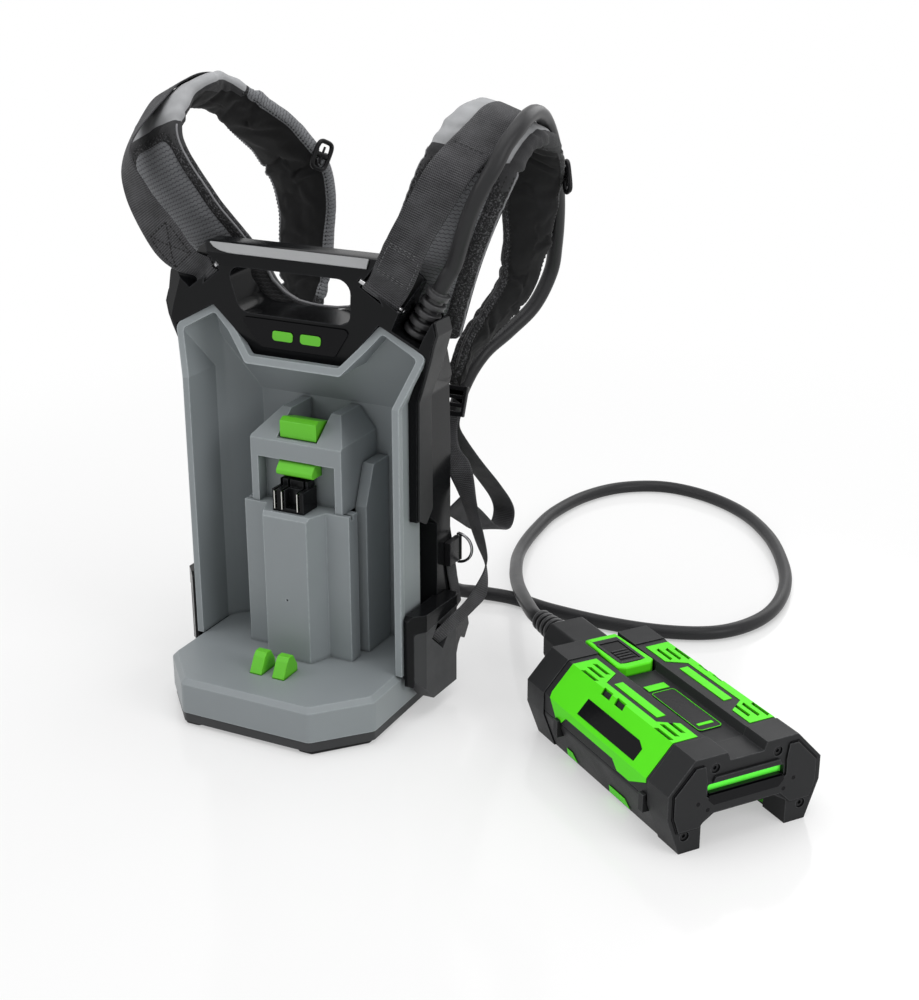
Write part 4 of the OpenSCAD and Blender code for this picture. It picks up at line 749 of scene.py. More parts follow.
for u, length in adapterTrim["runners"]:
    cut = adapterTrim["runnerCut"]
    limePlates.append(([(u, foot), (u + length, foot), (u + length - cut, top), (u + cut, top)], onRunnerWall, 0.8))
for side in (-1, 1):
    limePlates.append((rectangle(*adapterTrim["lining"]), onSide(side, adapterTrim["liningAt"], -1), 0.7))
badgeRing = []
badgeLow, badgeHigh, badgeHalf, badgeCorner, badgeTop = adapterTrim["badge"]
for first, (cu, side) in enumerate(((badgeHigh, 1), (badgeLow, 1), (badgeLow, -1), (badgeHigh, -1))):
    for k in range(5):
        turn = (first + k / 4) * math.pi / 2
        cv = side * badgeHalf + badgeCorner * math.sin(turn)
        badgeRing.append(onAdapter(cu + badgeCorner * math.cos(turn), cv, badgeTop))
ribWide, ribHalf = adapterTrim["thumbRib"]
thumbPlates = [(rectangle(u, -ribHalf, u + ribWide, ribHalf), onTop(0.1), 1.1) for u in adapterTrim["thumbRibs"]]
adapterPieces += [
    addPlates("adapterBlackTrim", blackPlates, finishes["plate_black"], 0.15),
    addPlates("adapterGreyTrim", greyPlates, finishes["adapter_grey"], 0.6),
    addPlates("adapterLimeTrim", limePlates, panelLime, 0.2),
    addPlates("thumbRibs", thumbPlates, finishes["adapter_grey"], 0.45, bodyOf["adapter_button"]),
    addTube("badgeLine", placed(badgeRing), 0.00035, panelLime, closed=True, sides=6)]
adapterPieces += [nodes[name] for name in ("adapter_screws", "adapter_terminals", "adapter_board", "adapter_light_bar",
                                           "adapter_button_spring")]
paint(nodes["adapter_screws"], finishes["buckle_black"])
print("adapter trimmed")

# Light grey strip along the handle top, pointed at its left end: a painted reflection on the gloss black handle
handleReflection = {
    "outline": [(-85, 9.4), (-85, 8.2), (-80, 4.6), (-73, 1.8), (-64, 0.3), (-56, 0), (83, 0), (83, 9.4)],
    "thick": 1.6, "foot": (7.0, 441.4), "slope": (0.55, 0.834), "sunk": 0.9,
}


def onHandle(a, b, h):
    (y, z), (back, rise), out = handleReflection["foot"], handleReflection["slope"], h - handleReflection["sunk"]
    return (a, y + back * b - rise * out, z + rise * b + back * out)


handleReflectionPlate = addPlates("handleReflectionPlate", [(handleReflection["outline"], onHandle, handleReflection["thick"])], finishes["grip_silver"])
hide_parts("handle_grip")


# Cloth
def noiseAt(points, scale, seed):
    shift = np.array([seed, -seed, 2 * seed])
    return np.array([noise.noise(Vector(p * scale + shift)) for p in points])


def smoothStep(low, high, value):
    u = np.clip((np.asarray(value, float) - low) / (high - low), 0, 1)
    return u * u * (3 - 2 * u)


def ridge(value, width):
    return np.exp(-(np.asarray(value) / width) ** 2)


def readPoints(mesh):
    points = np.empty(len(mesh.vertices) * 3, np.float32)
    mesh.vertices.foreach_get("co", points)
    return points.reshape(-1, 3).astype(float)


def writePoints(mesh, points):
    mesh.vertices.foreach_set("co", np.asarray(points, np.float32).ravel())
    mesh.update()


clothFeel = {"quality": 5, "mass": 0.15, "tension_stiffness": 12, "compression_stiffness": 6, "shear_stiffness": 4,
             "bending_stiffness": 0.15, "use_pressure": True}


# Fills a closed cloth form with air for a moment, held at its seams, and keeps the shape that it takes
def settleCloth(piece, held, pressure, growth, reach, frames=16):
    start = readPoints(piece.data)
    seam = piece.vertex_groups.new(name="heldSeams")
    seam.add([int(i) for i in np.flatnonzero(held)], 1.0, "REPLACE")
    modifier = piece.modifiers.new("clothSettle", "CLOTH")
    cloth = modifier.settings
    for key, value in clothFeel.items():
        setattr(cloth, key, value)
    cloth.uniform_pressure_force = pressure
    cloth.shrink_min = -growth
    cloth.vertex_group_mass = "heldSeams"
    cloth.effector_weights.gravity = 0.0
    modifier.collision_settings.use_collision = False
    modifier.point_cache.frame_start = 1
    modifier.point_cache.frame_end = frames
    for step in range(1, frames + 1):
        scene.frame_set(step)
    settled = readPoints(piece.evaluated_get(bpy.context.evaluated_depsgraph_get()).data)
    piece.modifiers.remove(modifier)
    piece.vertex_groups.remove(seam)
    scene.frame_set(1)
    moved = np.nan_to_num(settled - start)
    far = np.linalg.norm(moved, axis=1)
    moved *= np.minimum(1.0, reach / np.maximum(far, 1e-9))[:, None]
    writePoints(piece.data, start + moved)


# Small thread stitches, each a pointed capsule that lies along its seam
def addStitches(name, seams, normals, finish, slot, length=0.0034, gap=0.0014, radius=0.0005):
    verts, faces = [], []
    for seam, normal in zip(seams, normals):
        seam = np.asarray(seam, float)
        normal = np.asarray(normal, float)
        run = runAlong(seam)
        at = 0.0
        while at + length <= run[-1]:
            a = np.array([np.interp(at, run, seam[:, k]) for k in range(3)])
            b = np.array([np.interp(at + length, run, seam[:, k]) for k in range(3)])
            up = unit(np.array([np.interp(at, run, normal[:, k]) for k in range(3)]))
            aim = unit(b - a)
            side = unit(np.cross(up, aim))
            first = len(verts)
            verts.append(a)
            for share in (0.2, 0.8):
                for turn in range(5):
                    angle = turn * 2 * math.pi / 5
                    rim = math.cos(angle) * side + math.sin(angle) * up
                    verts.append(a + (b - a) * share + radius * rim + radius * 0.5 * up)
            verts.append(b)
            for turn in range(5):
                k = (turn + 1) % 5
                faces.append((first, first + 1 + k, first + 1 + turn))
                faces.append((first + 1 + turn, first + 1 + k, first + 6 + k, first + 6 + turn))
                faces.append((first + 11, first + 6 + turn, first + 6 + k))
            at += length + gap
    return addPiece(name, verts, faces, finish)


# Padded shoulder straps
def padFinish(name, face, line, cap, under, binding, fold):
    material, tree, shader = startMaterial(name, Roughness=0.88)
    setShine(shader, 0.12, 0.06)
    place = addNode(tree, "ShaderNodeSeparateXYZ")
    join(tree, addNode(tree, "ShaderNodeAttribute", {"attribute_name": "zones"}).outputs["Vector"], place.inputs[0])
    knit = useGroup(tree, hexMesh, Cell=0.0044)
    cloth = useGroup(tree, clothGrain)
    piled = useGroup(tree, brushedPile)
    onPanel = fadeNode(tree, place.outputs["X"], 0.0003, -0.0003)
    onCap = fadeNode(tree, place.outputs["Y"], 0.0003, -0.0003)
    onUnder = fadeNode(tree, place.outputs["Z"], 0.0003, -0.0003)
    meshTone = mixColours(tree, knit["Line"], toneMix(tree, cloth["Tone"], face, 0.8, 1.2), line)
    pileTone = toneMix(tree, piled["Speck"], binding, 1.0, 5.5)
    capTone = toneMix(tree, cloth["Tone"], cap, 0.75, 1.2)
    underTone = toneMix(tree, cloth["Tone"], under, 0.6, 1.5)
    nearCap = fadeNode(tree, place.outputs["Y"], 0.026, 0.024)
    foldTone = toneMix(tree, cloth["Tone"], fold, 0.7, 1.3)
    folded = mathNode(tree, "MULTIPLY", nearCap, fadeNode(tree, place.outputs["X"], 0.006, 0.008))
    tone = mixColours(tree, folded, pileTone, foldTone)
    tone = mixColours(tree, onCap, tone, capTone)
    tone = mixColours(tree, onPanel, tone, meshTone)
    tone = mixColours(tree, onUnder, tone, underTone)
    join(tree, tone, shader.inputs["Base Color"])
    pileHeight = mathNode(tree, "MULTIPLY", piled["Height"], 1.2)
    clothHeight = mathNode(tree, "MULTIPLY", cloth["Height"], 0.3)
    smooth = mathNode(tree, "MAXIMUM", onCap, onUnder)
    elsewhere = mathNode(tree, "SUBTRACT", 1.0, mathNode(tree, "MAXIMUM", smooth, onPanel))
    height = mathNode(tree, "MULTIPLY", pileHeight, elsewhere)
    for part, where in ((clothHeight, smooth), (knit["Height"], onPanel)):
        height = mathNode(tree, "ADD", height, mathNode(tree, "MULTIPLY", part, where))
    bumpInto(tree, shader, height, 0.7, 0.0007)
    return material


padForms = {
    "left": {
        "mid": [(-94, 74, 412), (-113, 62, 440), (-138, 54, 472), (-167, 50, 522), (-169, 74, 556), (-158, 102, 569),
                (-153, 136, 565), (-144, 177, 537), (-136, 213, 509), (-128, 240, 473), (-127, 252, 438),
                (-130, 254, 396), (-127, 242, 356), (-124, 230, 332)],
        "turn": [(34, -6, 10), (37, -8, 12), (37, -9, 15), (36, -10, 17), (36, -10, 17), (35, -13, 17), (28, -20, 18),
                 (32, -19, 19), (38, -19, 18), (42, -15, 14), (40, -12, 11), (38, -12, 6), (35, -12, 2), (27, -8, 0)],
        "panel": (0.03, 0.232), "panelInset": (14.5, 14.5), "cap": (0.255, 0.5), "outerFold": 0.0,
        "backPanel": (0.505, 0.955), "backInset": -9.0,
        "folds": [(0.243, 2.2, 0.1), (0.29, 1.2, -0.15), (0.505, 3.0, 0.25), (0.665, 6.0, 0.12), (0.93, 4.5, -0.1),
                  (0.965, 1.5, 0.2)],
        "ripple": 0.35,
    },
    "right": {
        "mid": [(90, 90, 370), (114, 67, 434), (136, 55, 474), (158, 57, 524), (167, 78, 551), (172, 104, 561),
                (167, 145, 553), (160, 180, 524), (152, 205, 470), (144, 215, 420), (134, 203, 380), (120, 174, 354),
                (109, 154, 332), (103, 143, 305)],
        "turn": [(40, 8, -13), (44, 9, -10), (43, 10, -4), (42, 8, -8), (39, 6, -13), (36, 5, -15), (35, 12, -18),
                 (27, 23, -18), (16, 27, -8), (10, 27, -4), (4, 20, -12), (-4, 12, -18), (-5, 8, -15), (-4, 5, -12)],
        "panel": (0.03, 0.235), "panelInset": (14.5, 21), "cap": (0.262, 0.475), "outerFold": 19.0,
        "backPanel": (0.5, 0.96), "backInset": 13.0,
        "folds": [(0.25, 1.8, 0.1), (0.33, 1.8, 0.5), (0.4, 1.6, -0.4), (0.48, 3.2, 0.2), (0.56, 2.2, -0.3),
                  (0.63, 3.0, 0.5), (0.7, 2.8, -0.5), (0.76, 3.0, 0.3), (0.82, 2.2, -0.4), (0.88, 2.4, 0.3)],
        "ripple": 1.0,
    },
}
padShape = {
    "thick": 17, "halfWidth": 38, "rows": 190, "columns": 64, "sidePower": 0.55, "facePower": 0.75,
    "corners": {"panel": 12, "backPanel": 4, "cap": 1.0}, "panelPuff": 2.2, "panelSeam": 1.3, "bindingPuff": 0.9,
    "capSeam": 1.2, "edgeSeam": 0.8, "sway": 4.5, "stitchRows": (6.2, 12.8), "underStitches": -5.8,
    "piping": 0.0009, "pipingAt": 3.4, "edgeCord": 0.0014, "edgeCordAt": 0.5,
    "capLap": (16, 5, 0.09), "backLap": 9, "lap": 5,
    "pressure": 2.0, "growth": 0.012, "reach": 0.003,
}
padShell = padFinish("padShell", face=(0.2, 0.205, 0.215), line=(0.09, 0.092, 0.098), cap=(0.36, 0.365, 0.375),
                     under=(0.01, 0.01, 0.0105), binding=(0.02, 0.02, 0.021), fold=(0.045, 0.045, 0.047))


# The run along an outline, and even places on it
def sectionRun(x, y, columns):
    run = np.concatenate([[0], np.cumsum(np.hypot(np.diff(x), np.diff(y)))])
    return run, np.arange(columns) / columns * run[-1]


def unitSection(columns):
    angle = np.linspace(0.5 * math.pi, 2.5 * math.pi, 2001)
    x = squared(np.cos(angle), padShape["sidePower"]) * padShape["halfWidth"]
    y = squared(np.sin(angle), padShape["facePower"]) * padShape["thick"] / 2
    run, at = sectionRun(x, y, columns)
    px, py = np.interp(at, run, x), np.interp(at, run, y)
    step = 0.4
    dx, dy = (np.interp((at + step) % run[-1], run, values) - np.interp((at - step) % run[-1], run, values)
              for values in (x, y))
    size = np.hypot(dx, dy)
    edge = run[-1] / 2 - np.interp(math.pi, angle, run)
    return px, py, dy / size, -dx / size, at - run[-1] / 2, edge


def padFrames(form, rows):
    t = np.linspace(0, 1, rows)
    mid, turn = (np.array([splineAt(form[key], k) for k in t]) for key in ("mid", "turn"))
    return t, mid, turn, eachUnit(np.cross(tangents(mid), turn))


def addShoulderPad(side, form):
    rows, columns, halfWidth = (padShape[key] for key in ("rows", "columns", "halfWidth"))
    t, mid, turn, under = padFrames(form, rows)
    px, py, nx, ny, q, edge = unitSection(columns)
    run = runAlong(mid)
    half = np.linalg.norm(turn, axis=1)
    along = np.repeat(run, columns)
    across = (q[None, :] * half[:, None] / halfWidth).ravel()
    shareT = np.repeat(t, columns)
    facePos = ((edge - np.abs(q))[None, :] * half[:, None] / halfWidth).ravel()

    # Signed distance to a field with round corners, in millimetres on the cloth
    def region(name, inset):
        low, high = (np.interp(share, t, run) for share in form[name])
        corner = padShape["corners"][name]
        a = inset - facePos + corner
        b = np.maximum(low - along, along - high) + corner
        return np.minimum(np.maximum(a, b), 0) + np.hypot(np.maximum(a, 0), np.maximum(b, 0)) - corner

    panel = region("panel", np.where(across > 0, form["panelInset"][1], form["panelInset"][0]))
    panel = np.minimum(panel, region("backPanel", form["backInset"]))
    cap = region("cap", np.where(across > 0, form["outerFold"] - 4.0, -4.0))
    inCap = (shareT > form["cap"][0]) & (shareT < form["cap"][1])
    inBack = (shareT > form["backPanel"][0]) & (form["backInset"] < 0)
    lap, wave, often = padShape["capLap"]
    underPos = facePos + np.where(inCap, lap + wave * np.sin(along * often),
                                  np.where(inBack, padShape["backLap"], padShape["lap"]))

    width = turn / half[:, None]
    verts = (mid[:, None, :] + px[None, :, None] * half[:, None, None] / halfWidth * width[:, None, :]
             + py[None, :, None] * under[:, None, :]).reshape(-1, 3)
    outward = (nx[None, :, None] * width[:, None, :] + ny[None, :, None] * under[:, None, :]).reshape(-1, 3)
    widths = np.repeat(width, columns, axis=0)
    lift = padShape["panelPuff"] * smoothStep(0, 11, -panel) * (facePos > 0) - padShape["panelSeam"] * ridge(panel, 1.5)
    lift += padShape["bindingPuff"] * (ridge(facePos - 8, 4.5) * (panel > 0) - ridge(facePos - 3.2, 1.0)) * (cap > 0)
    lift -= padShape["capSeam"] * ridge(cap, 1.4) + padShape["edgeSeam"] * ridge(facePos + 4.5, 1.2)
    strength = form["ripple"]
    flat = 0 * along
    creases = noiseAt(verts, 0.05, 3.1 + strength)
    fine = noiseAt(np.stack([along * 0.11, across * 0.03, flat], axis=1), 1, 7.7)
    lift += inCap * (1.5 * fine + 1.0 * creases)
    lift += (underPos < 0) * (0.8 * creases + 0.3 * fine) * strength * smoothStep(0.0, 6.0, -facePos)
    for at, depth, slant in form["folds"]:
        bent = along - np.interp(at, t, run) - slant * across + 5 * creases
        reachOut = 0.55 + 0.45 * np.clip(creases * 3, -1, 1)
        lift += depth * reachOut * (0.5 * ridge(bent - 7.5, 4.5) - ridge(bent, 3.0))
    sway = noiseAt(np.stack([along * 0.035, flat, flat], axis=1), 1, 12.0 + strength)
    verts = verts + outward * lift[:, None]
    stretch = strength * padShape["sway"] * sway * smoothStep(0.5, 0.62, shareT) * np.abs(across) / halfWidth
    verts = verts + widths * stretch[:, None]
    # Close both ends softly
    soft = smoothStep(0, 9, np.minimum(along, run[-1] - along))
    centre = np.repeat(mid, columns, axis=0)
    verts = centre + (verts - centre) * (0.72 + 0.28 * soft)[:, None]

    uv = np.stack([across, along], axis=1) * mm
    zones = np.stack([panel, cap, underPos], axis=1) * mm
    piece = addPiece("shoulderPad" + side.capitalize(), placed(verts), ringFaces(rows, columns), padShell,
                     uv=uv, zones=zones)
    fixNormals(piece)
    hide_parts("shoulder_pad_" + side)
    onSeam = (np.abs(panel) < 2.2) | (np.abs(cap) < 2.2) | (np.abs(facePos) < 1.5) | (np.abs(facePos + 4.5) < 1.5)
    settleCloth(piece, onSeam | (soft < 0.9), padShape["pressure"], padShape["growth"], padShape["reach"])
    grid = readPoints(piece.data).reshape(rows, columns, 3)
    grown = outward.reshape(rows, columns, 3)

    def seamAt(position, flank, low, high, above):
        line, facing = [], []
        for i in range(int(low * (rows - 1)), int(high * (rows - 1)) + 1):
            want = flank * (edge - position * halfWidth / half[i])
            j = int(np.clip(np.searchsorted(q, want) - 1, 0, columns - 2))
            share = (want - q[j]) / (q[j + 1] - q[j])
            normal = unit(grown[i, j] * (1 - share) + grown[i, j + 1] * share)
            line.append(grid[i, j] * (1 - share) + grid[i, j + 1] * share + normal * above * mm)
            facing.append(normal)
        return np.array(line), np.array(facing)

    stitched = []
    capStart, capEnd = form["cap"]
    for flank, tag in ((-1, "Inner"), (1, "Outer")):
        tag = side.capitalize() + tag
        line = seamAt(padShape["pipingAt"], flank, 0.01, capStart - 0.005, 0.1)[0]
        addTube("padPiping" + tag, line, padShape["piping"], pipingCloth, sides=8)
        if form["backInset"] > 0:
            line = seamAt(padShape["edgeCordAt"], flank, capEnd + 0.01, 0.985, 0.2)[0]
            addTube("padEdgeCord" + tag, line, padShape["edgeCord"], bindingPile, sides=8)
        for position in padShape["stitchRows"]:
            stitched.append(seamAt(position, flank, 0.015, form["panel"][1] + 0.01, -0.15))
        stitched.append(seamAt(padShape["underStitches"], flank, capEnd + 0.02, 0.98, -0.1))
    addStitches("padStitches" + side.capitalize(), *zip(*stitched), threadDark, "pad_cloth", length=0.0026, gap=0.0018)
    print("shoulder pad made:", side)


for side, form in padForms.items():
    addShoulderPad(side, form)


# Webbing
strapBar = {"centre": (92.5, 17, 416), "dip": 37, "sweep": 26.5, "loop": 3.9, "width": 38,
            "crown": (0.31, 0.36, 0.41, 0.46), "crownLift": 12.2}
dip, sweep = math.radians(strapBar["dip"]), math.radians(strapBar["sweep"])
barX = np.array([math.cos(sweep) * math.cos(dip), math.sin(sweep) * math.cos(dip), -math.sin(dip)])
barY = np.array([-math.sin(sweep), math.cos(sweep), 0.0])
barZ = np.cross(barX, barY)
barLoop = [np.array(strapBar["centre"], float) + strapBar["loop"] * (p * barY + r * barZ)
           for p, r in ((1, 4.2), (1, 2.1), (1, 0), (0.7, -0.7), (0, -1), (-0.7, -0.7), (-1, 0), (-1, 2.1))]
mirrorX = np.array([-1.0, 1.0, 1.0])


def onPad(form, share, above):
    a, b = splineAt(form["mid"], share - 0.01), splineAt(form["mid"], share + 0.01)
    n = unit(np.cross(unit(b - a), splineAt(form["turn"], share)))
    return splineAt(form["mid"], share) - n * above


def addBand(name, node, points, turns, steps, thickness=1.8, halfWidth=None, columns=30):
    rows = steps * 4 + 1
    line = smoothLine(points, rows - 1)
    w = smoothLine(turns, rows - 1)
    if halfWidth:
        w = eachUnit(w) * halfWidth
    n = eachUnit(np.cross(tangents(line), w))
    half = float(np.linalg.norm(w, axis=1).mean())
    angle = np.linspace(0, 2 * math.pi, 721)
    x = squared(np.cos(angle), 0.25) * half
    y = squared(np.sin(angle), 0.45) * thickness / 2
    run, at = sectionRun(x, y, columns)
    px, py = np.interp(at, run, x) / half, np.interp(at, run, y)
    length = runAlong(line)
    verts = line[:, None, :] + px[None, :, None] * w[:, None, :] + py[None, :, None] * n[:, None, :]
    uv = np.stack([np.repeat(px[None, :] * half, rows, axis=0).ravel(), np.repeat(length, columns)], axis=1) * mm
    verts = placed(verts.reshape(-1, 3))
    piece = addPiece(name, verts, ringFaces(rows, columns), finishes["webbing"], uv=uv)
    fixNormals(piece)
    if node:
        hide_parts(node)
    return placed(line), w, n, length


# Seam of stitches between two places on a strap
def bandSeam(band, a, b, count=14):
    line, w, facing, length = band
    seam, normals = [], []
    for k in range(count + 1):
        across, along = a[0] + (b[0] - a[0]) * k / count, a[1] + (b[1] - a[1]) * k / count
        i = int(np.clip(np.searchsorted(length, along), 0, len(length) - 1))
        seam.append(line[i] + (w[i] / np.linalg.norm(w[i]) * across + facing[i] * 0.95) * mm)
        normals.append(facing[i])
    return np.array(seam), np.array(normals)


topWebbing = {
    "left": ([p * mirrorX for p in barLoop] + [(-110, 4, 431), (-129, 0, 453), (-157, 1, 491), (-174, 14, 525)],
             [barX * mirrorX * -strapBar["width"] / 2] * 8
             + [(16, -5, 12), (17, -3, 14), (18, -7, 8), (14, -12, 9)] + [(17, -5, 8)] * 2 + [(17, -6, 8)] * 2),
    "right": (list(barLoop) + [(112, 8, 442), (126, 9, 472), (144, 14, 504), (158, 26, 532)],
              [barX * strapBar["width"] / 2] * 8
              + [(14, 9, -11), (12, 12, -10), (13, 12, -9), (16, 8, -8), (17.5, 4, -7)] + [(18, 3, -7)] * 3),
}
seams = {
    "left": {"half": 15, "span": (54, 92), "rows": (54, 92), "cross": True, "far": (), "thread": threadDark},
    "right": {"half": 16, "span": (52, 83), "rows": (52, 54.5, 83, 80.5), "cross": False, "far": (190, 192.5),
              "thread": threadPale},
}
for side, (points, turns) in topWebbing.items():
    crown = [onPad(padForms[side], share, strapBar["crownLift"]) for share in strapBar["crown"]]
    name = side.capitalize()
    line, w, n, length = addBand("topWebbing" + name, "top_webbing_" + side, points + crown, turns, 45, columns=40)
    band = (line, w, -n if n[len(n) // 2][1] > 0 else n, length)
    # Box of stitches, where the strap is folded back on itself
    half, (low, high) = seams[side]["half"], seams[side]["span"]
    paths = [((-half, at), (half, at)) for at in seams[side]["rows"]] + [((x, low), (x, high)) for x in (-half, half)]
    if seams[side]["cross"]:
        paths += [((-half, low), (half, high)), ((-half, high), (half, low))]
    paths += [((-half, at), (half, at)) for at in seams[side]["far"]]
    stitched = [bandSeam(band, a, b) for a, b in paths]
    addStitches("webbingStitches" + name, *zip(*stitched), seams[side]["thread"], "webbing")

narrowHalf = 12.5
lowerWebbing = {
    "left": ([(-123.5, 212.1, 302.4), (-123.5, 207.4, 293.6), (-126, 200, 272), (-132, 182, 238), (-142, 154, 196),
              (-150, 130, 154), (-152, 116, 126), (-150, 102, 104), (-147, 82, 96), (-143, 58, 88), (-136, 46, 80),
              (-131, 41, 75)],
             [(-12, 0, 0), (-12, 0, 0), (-11, -6, 0), (-10, -7, 2), (-9, -7, 3), (-6, -9, 5), (-4, 9, -6), (-2, 10, -7),
              (-1, 10, -8), (0, 9, -8), (0, 9, -8), (0, 9, -8)]),
    "right": ([(102, 129, 272.1), (102, 125.2, 262.9), (106, 117, 252), (113, 110, 244), (125, 105, 232),
               (141, 95, 202), (150.5, 103.5, 154), (153, 110, 128), (150, 104, 104), (147, 84, 95), (142, 59, 88),
               (136, 46, 80), (131, 41, 75)],
              [(12, 0, 0), (12, 0, 0), (12, 1, 0), (12, 2, 0), (11, 3, 1), (10, -4, 0), (8, -6, -1), (4.5, -10.5, 5),
               (-2, -10, 7), (-1, -10, 8), (0, -9, 8), (0, -9, 8), (0, -9, 8)]),
}
for side, (points, turns) in lowerWebbing.items():
    addBand("lowerWebbing" + side.capitalize(), "lower_webbing_" + side, points, turns, 30, halfWidth=narrowHalf)
tails = {
    "Right": ([(102, 131.3, 271), (102.2, 130.5, 261), (104, 143, 244), (109, 166, 216), (111, 204, 180),
               (111, 236, 148), (111, 243, 130), (111, 230, 120), (110, 198, 131), (109, 164, 156), (107, 134, 178)],
              [(12.5, 0, 0)] * 8 + [(11, 2, 4), (8, 5, 7), (6, 6, 7.5)], 30),
    "Left": ([(-123.5, 214.3, 301), (-123.3, 213.6, 291), (-120, 222, 262), (-117, 226, 210), (-115, 222, 160),
              (-113, 218, 120), (-113, 224, 92)], [(-12.5, 0, 0)] * 7, 14),
}
hem = {"rows": 4, "share": 0.1, "steps": 6, "thick": 4.4, "halfWidth": 12.7}
for side, (points, turns, steps) in tails.items():
    addBand("webbingTail" + side, "webbing_tails", points, turns, steps, halfWidth=narrowHalf)
    end, before = np.array(points[-1]), np.array(points[-2])
    line = [end + (before - end) * hem["share"] * k for k in range(hem["rows"])]
    addBand("tailHem" + side, None, line, [turns[-1]] * hem["rows"], hem["steps"], hem["thick"],
            halfWidth=hem["halfWidth"])
podStrap = {"line": [(123.3, 90, 141), (123.3, 93, 128), (123.6, 97, 114), (124, 101, 99), (124.5, 104, 84)],
            "turn": (0, 9, 3), "halfWidth": 8.5}
addBand("podWebbing", None, podStrap["line"], [podStrap["turn"]] * 5, 10, halfWidth=podStrap["halfWidth"])
print("webbing laid")


# Chest strap buckles
buckles = {
    "left": (0.675, 2.6, (-26, -30)), "right": (0.55, 4.8, (-24, 40)), "half": (8.5, 14), "wire": 0.0024,
    "bars": [("Bar", (0, 9), 0.0018), ("Clip", (7, 0), 0.003)],
}
for side, form in padForms.items():
    share, out, (tilt, turn) = buckles[side]
    edgeAim = splineAt(form["turn"], share)
    at = splineAt(form["mid"], share) + edgeAim + unit(edgeAim) * out
    tilt, turn = math.radians(tilt), math.radians(turn)
    upward = np.array([-math.sin(turn) * -math.sin(tilt), math.cos(turn) * -math.sin(tilt), math.cos(tilt)])
    sideways = np.array([-math.sin(turn), math.cos(turn), 0.0])
    sideways = unit(sideways - upward * np.dot(sideways, upward))
    wide, tall = buckles["half"]
    loop = np.array([at + sideways * wide * squared(math.cos(a), 0.5) + upward * tall * squared(math.sin(a), 0.5)
                     for a in np.linspace(0, 2 * math.pi, 64, endpoint=False)])
    gloss = finishes["buckle_black"]
    name = "chestBuckle" + side.capitalize()
    buckle = addTube(name, placed(loop), buckles["wire"], gloss, closed=True)
    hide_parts("sternum_sliders")
    for label, (wide, tall), radius in buckles["bars"]:
        reach = sideways * wide + upward * tall
        line = placed([at + reach * k / 2 for k in range(-2, 3)])
        addTube("chestBuckle" + label + side.capitalize(), line, radius, gloss, flat=0.7)
print("buckles made")


# Back, lumbar and yoke pads
def addSoftNode(name, node, finish, pitch=0.004, pressure=3.0, reach=0.006, heldDepth=0.005):
    mesh = nodes[node].data.copy()
    mesh.name = name
    piece = addObject(name, mesh)
    coarse = piece.modifiers.new("evenSkin", "REMESH")
    coarse.mode = "VOXEL"
    coarse.voxel_size = pitch
    skin = bpy.data.meshes.new_from_object(piece.evaluated_get(bpy.context.evaluated_depsgraph_get()))
    piece.modifiers.clear()
    piece.data = skin
    skin.name = name
    bpy.data.meshes.remove(mesh)
    skin.materials.clear()
    skin.materials.append(finish)
    skin.shade_smooth()
    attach(piece, "carrier")
    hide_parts(node)
    points = readPoints(skin)
    held = points[:, 1] < points[:, 1].min() + heldDepth
    settleCloth(piece, held, pressure, 0.03, reach, frames=14)

    def smoothen(work):
        for _ in range(2):
            bmesh.ops.smooth_vert(work, verts=work.verts, factor=0.4, use_axis_x=True, use_axis_y=True, use_axis_z=True)

    reworkMesh(skin, smoothen)
    addStrapMap(skin, points[:, [0, 2]])
    return piece


addSoftNode("backPad", "back_pad", finishes["back_cloth"])
addSoftNode("lumbarPad", "lumbar_pad", finishes["back_cloth"])

# Yoke: a padded panel with a round neckline, piped along its edge
yoke = {
    "low": [(0, 304), (70, 304), (84, 310), (94, 330), (99, 352)],
    "high": [(0, 383), (14, 383.5), (28, 386), (42, 393), (54, 404), (61, 418), (66, 432), (74, 436), (84, 430),
             (92, 412), (97, 392), (99, 372)],
    "front": [(303, 91.9), (323.1, 90.7), (376.3, 72.8), (387, 67), (436, 62.5)],
    "back": [(303, 103), (324, 100.5), (378, 83), (392, 76), (436, 71)],
    "half": 99, "columns": 81, "rows": 41, "edge": 7, "quilt": 1.6, "quiltLine": 352, "neck": 68, "piping": 0.0015,
}


def yokeCurve(key, at):
    table = np.array(yoke[key], float)
    return float(np.interp(at, table[:, 0], table[:, 1]))


acrossYoke = np.sin(np.linspace(-0.5 * math.pi, 0.5 * math.pi, yoke["columns"])) * yoke["half"]
yokeRows = yoke["rows"]
front, rear = [], []
for x in acrossYoke:
    low, high = yokeCurve("low", abs(x)), yokeCurve("high", abs(x))
    for k in range(yokeRows):
        z = low + (high - low) * (0.5 - 0.5 * math.cos(math.pi * k / (yokeRows - 1)))
        inside = min(z - low, high - z, yoke["half"] - abs(x))
        fullness = math.sqrt(max(0.0, 1 - (1 - min(inside / yoke["edge"], 1)) ** 2))
        near, far = yokeCurve("front", z), yokeCurve("back", z)
        middle, half = (near + far) / 2, (far - near) / 2
        quilt = yoke["quilt"] * min(1.0, inside / 12) * (1 - math.exp(-((z - yoke["quiltLine"]) / 3.0) ** 2))
        front.append((x, middle - half * fullness, z))
        rear.append((x, middle + half * fullness + quilt, z))
cells = []
size = len(acrossYoke) * yokeRows
for i in range(len(acrossYoke) - 1):
    for k in range(yokeRows - 1):
        a, b = i * yokeRows + k, (i + 1) * yokeRows + k
        cells.append((a, b, b + 1, a + 1))
        cells.append((size + a, size + a + 1, size + b + 1, size + b))
yokeVerts = np.array(front + rear)
yokePad = addPiece("yokePad", placed(yokeVerts), cells, finishes["back_cloth"],
                   uv=yokeVerts[:, [0, 2]] * mm)
reworkMesh(yokePad.data, lambda work: bmesh.ops.remove_doubles(work, verts=work.verts, dist=0.0002))
fixNormals(yokePad)
